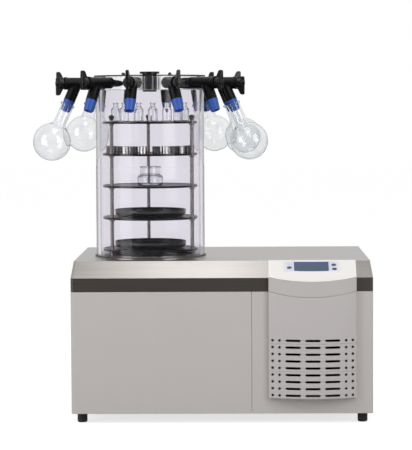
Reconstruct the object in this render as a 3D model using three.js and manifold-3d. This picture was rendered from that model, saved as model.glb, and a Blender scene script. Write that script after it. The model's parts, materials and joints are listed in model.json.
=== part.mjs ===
// Bench-top freeze dryer: a steel cabinet with a refrigerated condenser pot, and over it a clear
// drying drum that holds a five-shelf rack and carries a lid with twelve flask valves.
//
// Millimetres, +Z up. The object is laid out with X = 0 on the cabinet's middle plane, Y = 0 on the
// face of the front panels with +Y to the rear, and Z = 0 on the bench. The last lines move the
// finished assembly so that its origin is the bottom centre of its own box.

import * as THREE from "three";
import { mergeVertices } from "three/addons/utils/BufferGeometryUtils.js";
import Module from "manifold-3d";

const wasm = await Module();
wasm.setup();

// ---------------------------------------------------------------- driving dimensions

// Fits
const GAP = 0.3; // between pieces that rest on or in each other
const RUNNING_GAP = 0.7; // round a turning plug or shaft, on the radius
const OVERCUT = 1; // how far a cutting tool reaches past what it cuts

// Cabinet
const CABINET_WIDTH = 780;
const CABINET_DEPTH = 540;
const CABINET_CORNER = 6;
const SHEET = 1.5;
const FOOT_HEIGHT = 27;
const FOOT_RADIUS = 13;
const FOOT_CHAMFER = 2;
const FOOT_INSET = new THREE.Vector2(25, 45);
const PAN_HEIGHT = 22;
const PANEL_HEIGHT = 316.7;
const PANEL_RETURN = 14;
const PANEL_SEAM_X = 77;
const AIR_WINDOW_MARGIN = 22; // from the module's sides to the panel's air window
const BAND_HEIGHT = 35.3;
const COVER_RISE = 41.5;
const COVER_RUN = 36;
const COVER_TAPER = 6;
const VENT_COUNT = 9;
const VENT_PITCH = 16;
const VENT_LENGTH = 150;
const VENT_WIDTH = 5;
const VENT_BOTTOM = 90;
const VENT_Y = 330;

// Control module on the right of the front
const MODULE_X = 233.5;
const MODULE_WIDTH = 226;
const MODULE_SIDE_DEPTH = 12; // how far its side edges stand off the front panels
const MODULE_BULGE = 26; // how much further its middle stands off
const FASCIA_TOP_EDGE = 1.2; // its upper edge, above the cover's top plate
const FASCIA_LIFT = 3; // its lower edge at the sides, above the trim band
const FASCIA_DROP = 10.4; // how far that edge sags in the middle
const CHIN_LIFT = 1.3; // the chin's lower edge at the sides, above the front panels
const CHIN_DROP = 14;
const GRILLE_FLOOR = 42; // lower edge of the grille cover, above the front panels' lower edge
const GRILLE_WALL = 3;
const DISPLAY_SIZE = new THREE.Vector2(89, 34);
const DISPLAY_SHIFT = -2; // from the module's middle
const DISPLAY_DOWN = 8.6; // its upper edge, down the slope
const DISPLAY_THICK = 2.6;
const BUTTON_SIZE = new THREE.Vector2(12.5, 8.6);
const BUTTON_PROUD = 1.6;
const BUTTON_LENGTH = 5.2;
const BUTTON_CLEARANCE = 0.35;
const BUTTONS = [
  { name: "button_left", shift: -59, down: 31 },
  { name: "button_upper_right", shift: 55.8, down: 20 },
  { name: "button_lower_right", shift: 57, down: 36.5 },
];

// Grille pattern
const GRILLE_ROWS = 9;
const GRILLE_ROW_PITCH = 17.75;
const GRILLE_FIRST_ROW = 8.6; // above the cover's lower edge
const SLOT_LENGTH = 38.4;
const SLOT_HEIGHT = 5;
const SLOT_PITCH = 50.7;
const HOLE_RADIUS = 2.8;
const HOLE_SHIFTS = [-103, -85.5, 85.5, 103];

// Drying drum, its seal and the condenser pot under it
const DRUM_X = -192;
const DRUM_Y = 230;
const DRUM_RADIUS = 145;
const DRUM_WALL = 10;
const DRUM_HEIGHT = 439;
const SEAL_RADIUS = 148.5;
const SEAL_INNER_RADIUS = 132.5;
const SEAL_HEIGHT = 2.2;
const POT_RADIUS = 120;
const POT_DEPTH = 250;
const POT_WALL = 1.5;
const POT_FLANGE_RADIUS = 150;
const COIL_TURNS = 3;
const COIL_TUBE = 5;
const COIL_PITCH = 26;
const COIL_LOW_TURN = 30; // above the pot's floor
const PIPE_RADIUS = 12.5;
const PIPE_BORE = 10;
const PIPE_DOWN = 92; // its axis, below the pot's flange
const PIPE_OUT = 32; // how far it stands out behind the cabinet
const PIPE_FLANGE_RADIUS = 20;
const PIPE_FLANGE_THICK = 4;

// Lid and its stopper
const LID_RADIUS = 149;
const LID_HEIGHT = 36;
const LID_CHAMFER = 1;
const STOPPER_RADIUS = 19;
const STOPPER_NECK_RADIUS = 19.9;
const STOPPER_NECK_HEIGHT = 6.5;
const STOPPER_HEAD_RADIUS = 26.5;
const STOPPER_HEAD_HEIGHT = 6;
const STOPPER_BELOW = 5;
const STOPPER_CHAMFER = 1;

// Flask valves
const VALVE_COUNT = 12;
const VALVE_FIRST_ANGLE = -70.5; // degrees round the drum, 0 to the front, + to the right
const LEVERS_DOWN = [0, 5]; // valves whose lever hangs down, the others point up
const BARREL_RADIUS = 15;
const BARREL_LENGTH = 87.5;
const BARREL_COLLAR_RADIUS = 16.5;
const BARREL_COLLAR_LENGTH = 10;
const STUB_RADIUS = 8.5;
const STUB_LENGTH = 25;
const STUB_BORE = 4.5;
const BRANCH_AT = 52.3; // from the barrel's inner end to the branch's root
const BRANCH_TILT = 24; // degrees outwards from straight down
const BRANCH_LENGTH = 50.5;
const BRANCH_LEANS = { 3: 6, 10: -6 }; // degrees round the barrel, by the valve's index
const CONE_LENGTH = 29.5;
const CONE_TIP_RADIUS = 12.25; // its root is as thick as the branch
const BRANCH_BORE = 6.5;
const PLUG_RADIUS = 7.7;
const PLUG_DEPTH = 48;
const KNOB_RADIUS = 12.6;
const KNOB_LENGTH = 13;
const KNOB_HUB_RADIUS = 6.5;
const KNOB_HUB_LENGTH = 8.7;
const LEVER_ARM = 32;
const LEVER_TAIL = 16.5;
const LEVER_SHOULDER = 14; // how far out the lever's slanting inner edge starts
const LEVER_TIP_LENGTH = 10.5; // along the barrel, at the arm's end
const LEVER_START = 1.5; // from the knob's inner face
const LEVER_SHORT = 0.8; // how far its outer edge stays behind the hub's end
const LEVER_ROOT_WIDTH = 10.5;
const LEVER_TIP_WIDTH = 7;

// Flasks
const FLASKS = [
  { valve: 0, neck: 108 },
  { valve: 5, neck: 108.5 },
  { valve: 6, neck: 97.5 },
  { valve: 7, neck: 90.5 },
  { valve: 10, neck: 90.5 },
];
const BULB_RADIUS = 50;
const FLASK_WALL = 2;
const NECK_RADIUS = 16.6;
const LIP_RADIUS = 19.5;
const LIP_HEIGHT = 4;
const LIP_UP_CONE = 9.5; // how far the cone's root stands out of the neck

// Shelf rack
const SHELF_COUNT = 5;
const SHELF_RADIUS = 126.5;
const SHELF_THICK = 5.5;
const SHELF_PITCH = 84.6;
const LOWEST_SHELF = 14.3; // underside, above the pot's flange
const ROD_RADIUS = 4.5;
const ROD_CIRCLE = 123.3;
const ROD_ANGLES = [-26.3, 93.7, 213.7];
const ROD_TOP = 7; // above the top shelf's upper face
const KNOB_BALL_RADIUS = 7;
const KNOB_BALL_HEIGHT = 12;
const KNOB_BALL_SINK = 1; // how far the rod's end stands in its ball
const COLLAR_RADIUS = 7;
const COLLAR_HEIGHT = 3;
const RACK_RING_WIDTH = 18;
const RACK_RING_HEIGHT = 4.5;
const RACK_RING_RADIUS = 130.5;

// What stands on the shelves
const TRAY_RIM_RADIUS = 96;
const TRAY_BASE_RADIUS = 82.5;
const TRAY_HEIGHT = 19;
const TRAY_WALL = 1.2;
const TRAY_LIP = 3;
const TRAY_SHELVES = [4, 5];
const JAR_RADIUS = 34.5;
const JAR_FOOT_INSET = 3;
const JAR_FOOT_RISE = 5;
const JAR_BODY_HEIGHT = 28;
const JAR_SHOULDER = 6;
const JAR_NECK_RADIUS = 27;
const JAR_HEIGHT = 49;
const JAR_LIP_PROUD = 1.5;
const JAR_LIP_HEIGHT = 4;
const JAR_WALL = 2.2;
const VIAL_ANGLES = [-66, -41, -15, 7, 30, 52, 75];
const VIAL_CIRCLE = 96;
const VIAL_RADIUS = 12.4;
const VIAL_NECK_RADIUS = 7.6;
const VIAL_HEIGHT = 50;
const VIAL_SHOULDER = 34;
const VIAL_NECK_BASE = 40;
const VIAL_WALL = 1.3;
const CUP_STEP = 13;
const CUP_FIRST_ANGLES = [-85, 11]; // two runs of cups, with a gap at the front between them
const CUPS_PER_RUN = 7;
const CUP_CIRCLE = 108;
const CUP_RADIUS = 10.5;
const CUP_HEIGHT = 21;

// Machinery in the cabinet
const COMPRESSOR_PLACE = new THREE.Vector2(200, 395);
const COMPRESSOR_LEG = 14;
const COMPRESSOR_LEG_RADIUS = 7;
const COMPRESSOR_LEG_INSET = 10;
const COMPRESSOR_PLATE_SIZE = 136;
const COMPRESSOR_PLATE_THICK = 4;
const COMPRESSOR_CAN = [[0, 0], [60, 2], [85, 43], [85, 172], [64, 204], [0, 215]]; // its half outline
const RADIATOR_WIDTH = 186;
const RADIATOR_HEIGHT = 200;
const RADIATOR_DEPTH = 34;
const RADIATOR_FRONT = 26;
const RADIATOR_FINS = 9;
const RADIATOR_HEADER = 5;
const SHROUD_DEPTH = 44;
const SHROUD_HOLE_RADIUS = 80;
const SHROUD_FOOT_WIDTH = 16;
const FAN_UP = 40; // how far the fan's axis stands over the radiator's middle height
const FAN_RADIUS = 76;
const FAN_HUB_RADIUS = 20;
const FAN_BLADES = 5;
const FAN_DEPTH = 18;
const BLADE_WIDTH = 32;
const BLADE_THICK = 2;
const BLADE_PITCH = 28; // degrees
const BLADE_ROOT = 3; // how deep a blade stands in the hub
const SHAFT_RADIUS = 4;
const SHAFT_DEPTH = 16; // in the motor
const MOTOR_RADIUS = 24;
const MOTOR_LENGTH = 36;
const MOTOR_STAND = 12; // behind the shroud
const MOTOR_BAR_BACK = 22; // from the motor's front face
const MOTOR_BAR_THICK = 4;
const MOTOR_BAR_HEIGHT = 12;
const MOTOR_BAR_REACH = 86;
const STRUT_THICK = 6;

// Mains inlet and switch on the rear
const INLET_X = 310;
const INLET_Z = 90;
const INLET_SIZE = new THREE.Vector3(27, 18, 20);
const INLET_PIN = new THREE.Vector3(2, 4, 14);
const INLET_PIN_PLACES = [[-7, -2], [0, 3], [7, -2]];
const SWITCH_Z = 140;
const ROCKER_WIDTH = 18;
const ROCKER_RADIUS = 12.3;
const ROCKER_TILT = 8; // degrees
const ROCKER_PIVOT_DEPTH = 4;
const ROCKER_END = 11.6; // half its height at its face
const ROCKER_RIDGE = 6; // how far its middle ridge stands out from the pivot
const ROCKER_FACE = 3;
const ROCKER_ROOT = 5;

// How finely round forms are divided
const FINE = 32;
const LID_SIDES = 36;
const MEDIUM = 16;
const SMALL = 8;
const BORE_SIDES = 6;
const TRAY_SIDES = 28;
const COARSE = 12;
const GLASSWARE_SIDES = 7;
const BULB_STEPS = 6;
const HOLLOW_STEPS = 4;
const SLOT_END_STEPS = 1;
const CORNER_STEPS = 2;

// ---------------------------------------------------------------- derived levels and places

const PANEL_TOP = FOOT_HEIGHT + PANEL_HEIGHT;
const BAND_TOP = PANEL_TOP + BAND_HEIGHT;
const COVER_TOP = BAND_TOP + COVER_RISE;
const POT_FLANGE_TOP = COVER_TOP + GAP + POT_WALL;
const SEAL_BOTTOM = POT_FLANGE_TOP + GAP;
const DRUM_BOTTOM = SEAL_BOTTOM + SEAL_HEIGHT + GAP;
const LID_BOTTOM = DRUM_BOTTOM + DRUM_HEIGHT + GAP;
const LID_TOP = LID_BOTTOM + LID_HEIGHT;
const VALVE_Z = LID_BOTTOM + LID_HEIGHT / 2;
const VALVE_CIRCLE = LID_RADIUS + GAP;
const PAN_FLOOR = FOOT_HEIGHT + SHEET + GAP;
const HALF_WIDTH = CABINET_WIDTH / 2;
const HALF_MODULE = MODULE_WIDTH / 2;
const GRILLE_BOTTOM = FOOT_HEIGHT + GRILLE_FLOOR;
const PLUG_BORE = PLUG_RADIUS + RUNNING_GAP;
const SHELF_BOTTOMS = Array.from({ length: SHELF_COUNT }, (_, n) => (
  POT_FLANGE_TOP + LOWEST_SHELF + SHELF_PITCH * (SHELF_COUNT - 1 - n)
)); // shelf 1 is the top one
const PIPE_Z = POT_FLANGE_TOP - PIPE_DOWN;
const FAN_X = MODULE_X;
const FAN_Z = PAN_FLOOR + SHEET + RADIATOR_HEIGHT / 2 + FAN_UP;
const SHROUD_BACK = RADIATOR_FRONT + RADIATOR_DEPTH + SHROUD_DEPTH;
const MOTOR_FRONT = SHROUD_BACK + MOTOR_STAND;

// ---------------------------------------------------------------- small geometry kit

const radians = THREE.MathUtils.degToRad;

/** A closed mesh as a solid: positions only, corners merged, faces turned outwards. */
function solidOf(geometry) {
  const bare = new THREE.BufferGeometry();
  bare.setAttribute("position", geometry.getAttribute("position"));
  bare.setIndex(geometry.getIndex());
  const merged = mergeVertices(bare, 1e-4);
  const corners = merged.getAttribute("position").array;
  const triangles = [];
  let volume = 0;
  const [p, q, r] = [new THREE.Vector3(), new THREE.Vector3(), new THREE.Vector3()];
  const index = merged.getIndex().array;
  for (let n = 0; n < index.length; n += 3) {
    const [a, b, c] = [index[n], index[n + 1], index[n + 2]];
    if (a !== b && b !== c && c !== a) {
      triangles.push(a, b, c);
      p.fromArray(corners, 3 * a);
      q.fromArray(corners, 3 * b);
      r.fromArray(corners, 3 * c);
      volume += p.dot(q.cross(r));
    }
  }
  if (volume < 0) {
    triangles.reverse();
  }
  return new wasm.Manifold(new wasm.Mesh({
    numProp: 3,
    vertProperties: new Float32Array(corners),
    triVerts: new Uint32Array(triangles),
  }));
}

/** A solid's surface as a geometry that three.js can draw. */
function geometryOf(solid) {
  const mesh = solid.getMesh();
  const geometry = new THREE.BufferGeometry();
  geometry.setAttribute("position", new THREE.BufferAttribute(mesh.vertProperties, 3));
  geometry.setIndex(new THREE.BufferAttribute(mesh.triVerts, 1));
  return geometry;
}

function join(...pieces) {
  return geometryOf(pieces.map(solidOf).reduce((whole, piece) => whole.add(piece)));
}

function cut(body, ...tools) {
  return geometryOf(tools.map(solidOf).reduce((rest, tool) => rest.subtract(tool), solidOf(body)));
}

function common(body, other) {
  return geometryOf(solidOf(body).intersect(solidOf(other)));
}

function box(x0, x1, y0, y1, z0, z1) {
  const geometry = new THREE.BoxGeometry(x1 - x0, y1 - y0, z1 - z0);
  return geometry.translate((x0 + x1) / 2, (y0 + y1) / 2, (z0 + z1) / 2);
}

/** A profile of [radius, height] points turned about the Z axis. */
function turned(profile, sides) {
  const points = profile.map(([radius, height]) => new THREE.Vector2(radius, height));
  return new THREE.LatheGeometry(points, sides).rotateX(Math.PI / 2);
}

function rod(radius, z0, z1, sides) {
  return turned([[0, z0], [radius, z0], [radius, z1], [0, z1]], sides);
}

/** A flat ring or tube: the closed profile between two radii and two heights. */
function ring(inner, outer, z0, z1, sides) {
  return turned([[inner, z0], [outer, z0], [outer, z1], [inner, z1], [inner, z0]], sides);
}

/** Turns a piece built along +Z so that it lies along +X. */
function alongX(geometry) {
  return geometry.rotateY(Math.PI / 2);
}

/** Turns a piece built along +Z so that it lies along +Y. */
function alongY(geometry) {
  return geometry.rotateX(-Math.PI / 2);
}

function extruded(shape, z0, z1, curveSegments = CORNER_STEPS) {
  const options = { depth: z1 - z0, bevelEnabled: false, curveSegments };
  return new THREE.ExtrudeGeometry(shape, options).translate(0, 0, z0);
}

/** Corner points of a rectangle with rounded corners, anticlockwise, seen from above. */
function roundedOutline(x0, x1, y0, y1, radius) {
  const centres = [[x1, y0, -90], [x1, y1, 0], [x0, y1, 90], [x0, y0, 180]];
  return centres.flatMap(([x, y, start]) => {
    const cx = x - radius * Math.sign(x - (x0 + x1) / 2);
    const cy = y - radius * Math.sign(y - (y0 + y1) / 2);
    return Array.from({ length: CORNER_STEPS + 1 }, (_, n) => {
      const angle = radians(start + (90 * n) / CORNER_STEPS);
      return [cx + radius * Math.cos(angle), cy + radius * Math.sin(angle)];
    });
  });
}

function roundedShape(x0, x1, y0, y1, radius) {
  const outline = roundedOutline(x0, x1, y0, y1, radius);
  return new THREE.Shape(outline.map(([x, y]) => new THREE.Vector2(x, y)));
}

/** Skins a row of flat sections that have the same number of points, and caps both ends.
 *  place(at, a, b) puts the point (a, b) of the section that lies at `at` into space. */
function lofted(sections, place) {
  const count = sections[0].outline.length;
  const corners = sections.flatMap(({ at, outline }) => outline.flatMap(([a, b]) => place(at, a, b)));
  const index = [];
  for (let s = 0; s + 1 < sections.length; s += 1) {
    for (let n = 0; n < count; n += 1) {
      const a = s * count + n;
      const b = s * count + ((n + 1) % count);
      index.push(a, b, b + count, a, b + count, a + count);
    }
  }
  const capped = (section, first, flip) => {
    const flat = section.outline.map(([a, b]) => new THREE.Vector2(a, b));
    for (const face of THREE.ShapeUtils.triangulateShape(flat, [])) {
      const [a, b, c] = face.map((n) => first + n);
      index.push(...(flip ? [c, b, a] : [a, b, c]));
    }
  };
  const turnsLeft = THREE.ShapeUtils.area(sections[0].outline.map(([a, b]) => new THREE.Vector2(a, b))) > 0;
  capped(sections[0], 0, turnsLeft);
  capped(sections.at(-1), (sections.length - 1) * count, !turnsLeft);
  const geometry = new THREE.BufferGeometry();
  geometry.setAttribute("position", new THREE.Float32BufferAttribute(corners, 3));
  geometry.setIndex(index);
  return geometry;
}

/** Puts copies of a piece at angles round the drum's axis, in degrees from the front. */
function roundDrum(geometry, radius, azimuth) {
  const angle = radians(azimuth - 90);
  return geometry.clone().translate(radius * Math.cos(angle), radius * Math.sin(angle), 0);
}

// ---------------------------------------------------------------- finishes

const finish = (color, roughness, metalness, extra = {}) => (
  new THREE.MeshStandardMaterial({ color, roughness, metalness, ...extra })
);
const clear = { transparent: true, opacity: 0.25 };
const FINISHES = {
  paintedSteel: () => finish(0xbab6b1, 0.55, 0.1),
  brushedSteel: () => finish(0xc4c1bc, 0.35, 0.9),
  darkBand: () => finish(0x4a4744, 0.45, 0.6),
  whiteFascia: () => finish(0xf4f2f0, 0.5, 0),
  greyMoulding: () => finish(0xb9b8b5, 0.55, 0),
  display: () => finish(0x46508c, 0.2, 0),
  button: () => finish(0x4c5364, 0.45, 0),
  blackRubber: () => finish(0x1a1a1c, 0.6, 0),
  blackPlastic: () => finish(0x161618, 0.4, 0),
  shelfBlack: () => finish(0x1b1b1e, 0.4, 0.3),
  steel: () => finish(0x8b867f, 0.3, 1),
  copper: () => finish(0xa5683f, 0.4, 1),
  blackEnamel: () => finish(0x202022, 0.5, 0.2),
  aluminium: () => finish(0xa9abad, 0.5, 0.8),
  acrylic: () => finish(0xf0f0f2, 0.05, 0, clear),
  glass: () => finish(0xf4f6f6, 0.03, 0, clear),
};

const assembly = new THREE.Group();

/** Adds one named piece to a group. */
function add(name, geometry, finishName, parent = assembly) {
  const mesh = new THREE.Mesh(geometry, FINISHES[finishName]());
  mesh.name = name;
  parent.add(mesh);
  return mesh;
}

function group(parent, x, y, z) {
  const holder = new THREE.Group();
  holder.position.set(x, y, z);
  parent.add(holder);
  return holder;
}

// ---------------------------------------------------------------- cabinet

/** Floor pan with a turned-up rim, and the four feet pressed into it. */
function basePan() {
  const inset = SHEET + GAP;
  const [x, y0, y1] = [HALF_WIDTH - inset, PANEL_RETURN + GAP, CABINET_DEPTH - inset];
  const top = PAN_FLOOR + PAN_HEIGHT;
  const outer = extruded(roundedShape(-x, x, y0, y1, CABINET_CORNER - SHEET), PAN_FLOOR, top);
  const inner = extruded(
    roundedShape(-x + SHEET, x - SHEET, y0 + SHEET, y1 - SHEET, CABINET_CORNER - 2 * SHEET),
    PAN_FLOOR + SHEET,
    top + OVERCUT,
  );
  const foot = turned([
    [0, 0],
    [FOOT_RADIUS - FOOT_CHAMFER, 0],
    [FOOT_RADIUS, FOOT_CHAMFER],
    [FOOT_RADIUS, FOOT_HEIGHT - GAP],
    [FOOT_RADIUS / 2, FOOT_HEIGHT - GAP],
    [FOOT_RADIUS / 2, PAN_FLOOR + SHEET / 2],
    [0, PAN_FLOOR + SHEET / 2],
  ], COARSE);
  const feet = [-1, 1].flatMap((side) => [FOOT_INSET.y, CABINET_DEPTH - FOOT_INSET.y].map((y) => (
    foot.clone().translate(side * (HALF_WIDTH - FOOT_INSET.x), y, 0)
  )));
  return join(cut(outer, inner), ...feet);
}

/** The cabinet's upright outline as a solid block, drawn in by `inset` on every side. */
function cabinetBlock(inset, z0, z1) {
  const x = HALF_WIDTH - inset;
  const shape = roundedShape(-x, x, inset, CABINET_DEPTH - inset, CABINET_CORNER - inset);
  return extruded(shape, z0, z1);
}

/** One front panel: a pressed pan between two upright edges, open to the rear. */
function frontPanel(x0, x1) {
  const reach = CABINET_DEPTH;
  const slice = box(x0, x1, -reach, PANEL_RETURN, 0, PANEL_TOP + reach);
  const outer = common(cabinetBlock(0, FOOT_HEIGHT, PANEL_TOP - GAP), slice);
  const hollow = box(
    Math.max(x0, -HALF_WIDTH) + SHEET,
    Math.min(x1, HALF_WIDTH) - SHEET,
    -reach,
    reach,
    0,
    PANEL_TOP + reach,
  );
  const inner = common(cabinetBlock(SHEET, FOOT_HEIGHT + SHEET, PANEL_TOP - GAP - SHEET), hollow);
  return cut(outer, inner);
}

function leftFrontPanel() {
  return frontPanel(-CABINET_WIDTH, PANEL_SEAM_X - GAP);
}

/** The right panel has an air window behind the grille cover. */
function rightFrontPanel() {
  const window = box(
    MODULE_X - HALF_MODULE + AIR_WINDOW_MARGIN,
    MODULE_X + HALF_MODULE - AIR_WINDOW_MARGIN,
    -SHEET,
    2 * SHEET,
    GRILLE_BOTTOM + AIR_WINDOW_MARGIN / 2,
    GRILLE_BOTTOM + GRILLE_FIRST_ROW + GRILLE_ROWS * GRILLE_ROW_PITCH,
  );
  return cut(frontPanel(PANEL_SEAM_X + GAP, CABINET_WIDTH), window);
}

/** Sides and rear in one folded sheet, with vents, pipe hole, mains inlet and switch well. */
function cabinetWrap() {
  const shell = cut(
    cabinetBlock(0, FOOT_HEIGHT, PANEL_TOP - GAP),
    cabinetBlock(SHEET, 0, PANEL_TOP + CABINET_DEPTH),
  );
  const sheet = cut(shell, box(
    -CABINET_WIDTH, CABINET_WIDTH, -CABINET_DEPTH, PANEL_RETURN + GAP, 0, PANEL_TOP,
  ));
  const vents = Array.from({ length: VENT_COUNT }, (_, n) => {
    const z = VENT_BOTTOM + n * VENT_PITCH;
    return box(
      HALF_WIDTH - 2 * SHEET, HALF_WIDTH + SHEET,
      VENT_Y - VENT_LENGTH / 2, VENT_Y + VENT_LENGTH / 2, z, z + VENT_WIDTH,
    );
  });
  const pipeHole = alongY(rod(PIPE_RADIUS + GAP, 0, 4 * SHEET, MEDIUM));
  pipeHole.translate(DRUM_X, CABINET_DEPTH - 3 * SHEET, PIPE_Z);
  const inletRoom = rearBox(INLET_Z, INLET_SIZE.x, INLET_SIZE.y, INLET_SIZE.z, OVERCUT);
  const switchRoom = rearBox(SWITCH_Z, ...switchWell(), OVERCUT);
  const housings = [
    rearBox(INLET_Z, INLET_SIZE.x + 2 * SHEET, INLET_SIZE.y + 2 * SHEET, INLET_SIZE.z + SHEET, -SHEET / 2),
    rearBox(SWITCH_Z, ...switchWell().map((size) => size + 2 * SHEET), -SHEET / 2),
  ];
  const shaped = cut(join(sheet, ...housings), ...vents, pipeHole, inletRoom, switchRoom);
  return join(shaped, ...inletPins());
}

/** A box let into the rear from its outer face, `proud` beyond it. */
function rearBox(z, width, height, depth, proud) {
  return box(
    INLET_X - width / 2, INLET_X + width / 2,
    CABINET_DEPTH - depth, CABINET_DEPTH + proud, z - height / 2, z + height / 2,
  );
}

/** Width, height and depth of the room that the switch rocks in. */
function switchWell() {
  return [ROCKER_WIDTH + 2 * BUTTON_CLEARANCE, 2 * (ROCKER_RADIUS + BUTTON_CLEARANCE), 2 * ROCKER_RADIUS];
}

function inletPins() {
  const floor = CABINET_DEPTH - INLET_SIZE.z;
  const [x, z] = [INLET_PIN.x / 2, INLET_PIN.y / 2];
  return INLET_PIN_PLACES.map(([right, up]) => box(
    INLET_X + right - x, INLET_X + right + x,
    floor - SHEET / 2, floor + INLET_PIN.z,
    INLET_Z + up - z, INLET_Z + up + z,
  ));
}

/** Dark band that runs round the cabinet under the top cover. */
function trimBand() {
  return cut(
    cabinetBlock(0, PANEL_TOP, BAND_TOP - GAP),
    cabinetBlock(SHEET, 0, BAND_TOP + CABINET_DEPTH),
  );
}

/** The cover's form from its lower edge to its top plate: sloped in front, drawn in at the sides. */
function coverBlock(lower, upper) {
  const section = ({ at, side, front, rear }) => ({
    at,
    outline: roundedOutline(-side, side, front, rear, CABINET_CORNER),
  });
  return lofted([section(lower), section(upper)], (at, a, b) => [a, b, at]);
}

/** Folded steel cover with the pot's hole and a window behind the controls. */
function topCover() {
  const slopeWall = (SHEET * Math.hypot(COVER_RISE, COVER_RUN)) / COVER_RISE;
  const outer = coverBlock(
    { at: BAND_TOP, side: HALF_WIDTH, front: 0, rear: CABINET_DEPTH },
    { at: COVER_TOP, side: HALF_WIDTH - COVER_TAPER, front: COVER_RUN, rear: CABINET_DEPTH },
  );
  const inner = coverBlock(
    {
      at: BAND_TOP - SHEET,
      side: HALF_WIDTH - SHEET + (COVER_TAPER * SHEET) / COVER_RISE,
      front: slopeWall - (COVER_RUN * SHEET) / COVER_RISE,
      rear: CABINET_DEPTH - SHEET,
    },
    {
      at: COVER_TOP - SHEET,
      side: HALF_WIDTH - SHEET - COVER_TAPER * (1 - SHEET / COVER_RISE),
      front: slopeWall + COVER_RUN * (1 - SHEET / COVER_RISE),
      rear: CABINET_DEPTH - SHEET,
    },
  );
  const hole = rod(POT_RADIUS + POT_WALL + GAP, BAND_TOP, COVER_TOP + OVERCUT, FINE);
  hole.translate(DRUM_X, DRUM_Y, 0);
  const reach = BUTTON_SIZE.x;
  const window = box(
    MODULE_X + BUTTONS[0].shift - reach, MODULE_X + BUTTONS[2].shift + reach,
    2 * SHEET, COVER_RUN - SHEET, BAND_TOP - OVERCUT, COVER_TOP + OVERCUT,
  );
  return cut(outer, inner, hole, window);
}

// ---------------------------------------------------------------- control module

/** How far the module's face stands in front of the panels at x, from its middle. */
function moduleDepth(x) {
  return MODULE_SIDE_DEPTH + MODULE_BULGE * (1 - (x / HALF_MODULE) ** 2);
}

/** The same sag for the curved lower edges: nothing at the sides, `drop` in the middle. */
function sag(x, drop) {
  return drop * (1 - (x / HALF_MODULE) ** 2);
}

function fasciaEdge(x) {
  return BAND_TOP + FASCIA_LIFT - sag(x, FASCIA_DROP);
}

function chinEdge(x) {
  return PANEL_TOP + CHIN_LIFT - sag(x, CHIN_DROP);
}

/** What the module lies against, with the fitting gap: the cover's slope and the upright front. */
function moduleBacking() {
  const stand = (GAP * Math.hypot(COVER_RISE, COVER_RUN)) / COVER_RISE;
  const pitch = COVER_RISE / COVER_RUN;
  const outline = [
    [-GAP, 0],
    [-GAP, BAND_TOP + (stand - GAP) * pitch],
    [COVER_RUN, COVER_TOP + stand * pitch],
    [CABINET_DEPTH, COVER_TOP + stand * pitch],
    [CABINET_DEPTH, 0],
  ];
  const sections = [-HALF_WIDTH, HALF_WIDTH].map((at) => ({ at, outline }));
  return lofted(sections, (x, y, z) => [x, y, z]);
}

/** Skins sections across the module, drawn in by `inset` at both sides. They stand on the slots'
 *  middles and between the slots and holes, so that the face bends where nothing is cut. */
function acrossModule(outlineAt, inset = 0) {
  const betweenHoles = (HOLE_SHIFTS.at(-1) + HOLE_SHIFTS.at(-2)) / 2;
  const right = [0.5 * SLOT_PITCH, SLOT_PITCH, 1.5 * SLOT_PITCH, betweenHoles, HALF_MODULE - inset];
  const stations = [...right.map((x) => -x).reverse(), 0, ...right];
  const sections = stations.map((x) => ({ at: x, outline: outlineAt(x) }));
  return lofted(sections, (x, y, z) => [MODULE_X + x, y, z]);
}

/** A place on the fascia's face: x from the module's middle, `down` the slope from its top edge.
 *  Z is the face's normal there, X runs to the right and Y up the slope. */
function onFascia(x, down) {
  const top = new THREE.Vector3(MODULE_X + x, COVER_RUN, COVER_TOP + FASCIA_TOP_EDGE);
  const low = new THREE.Vector3(MODULE_X + x, -moduleDepth(x), fasciaEdge(x));
  const up = top.clone().sub(low).normalize();
  const right = new THREE.Vector3(1, 0, 0);
  const normal = right.clone().cross(up);
  return new THREE.Matrix4().makeBasis(right, up, normal).setPosition(top.addScaledVector(up, -down));
}

function displayPlace() {
  return onFascia(DISPLAY_SHIFT, DISPLAY_DOWN + DISPLAY_SIZE.y / 2);
}

function ovalShape(width, height) {
  return new THREE.Shape().absellipse(0, 0, width / 2, height / 2, 0, 2 * Math.PI);
}

/** Sloping white fascia, with a window for the display and holes for the buttons. */
function controlFascia() {
  const wedge = acrossModule((x) => [
    [COVER_RUN, COVER_TOP + FASCIA_TOP_EDGE],
    [-moduleDepth(x), fasciaEdge(x)],
    [COVER_RUN, fasciaEdge(x)],
  ]);
  const [w, h] = [DISPLAY_SIZE.x / 2 + GAP, DISPLAY_SIZE.y / 2 + GAP];
  const depth = COVER_RISE;
  const window = box(-w, w, -h, h, -depth, depth).applyMatrix4(displayPlace());
  const oval = ovalShape(
    BUTTON_SIZE.x + 2 * BUTTON_CLEARANCE,
    BUTTON_SIZE.y + 2 * BUTTON_CLEARANCE,
  );
  const holes = BUTTONS.map(({ shift, down }) => (
    extruded(oval, -depth, depth, SMALL / 2).applyMatrix4(onFascia(shift, down))
  ));
  return cut(wedge, moduleBacking(), window, ...holes);
}

/** Grey chin between the fascia and the grille cover. */
function fasciaChin() {
  const block = acrossModule((x) => {
    const [top, low] = [fasciaEdge(x) - GAP, chinEdge(x)];
    const depth = moduleDepth(x);
    return [[COVER_RUN, top], [-depth, top], [-depth, low], [COVER_RUN, low]];
  });
  return cut(block, moduleBacking());
}

function grilleOutline(x, inset, back) {
  const depth = moduleDepth(x) - inset;
  const [low, top] = [GRILLE_BOTTOM + inset, chinEdge(x) - GAP - inset];
  const edge = GRILLE_WALL;
  return [[back, low], [edge - depth, low], [-depth, low + edge], [-depth, top], [back, top]];
}

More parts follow.
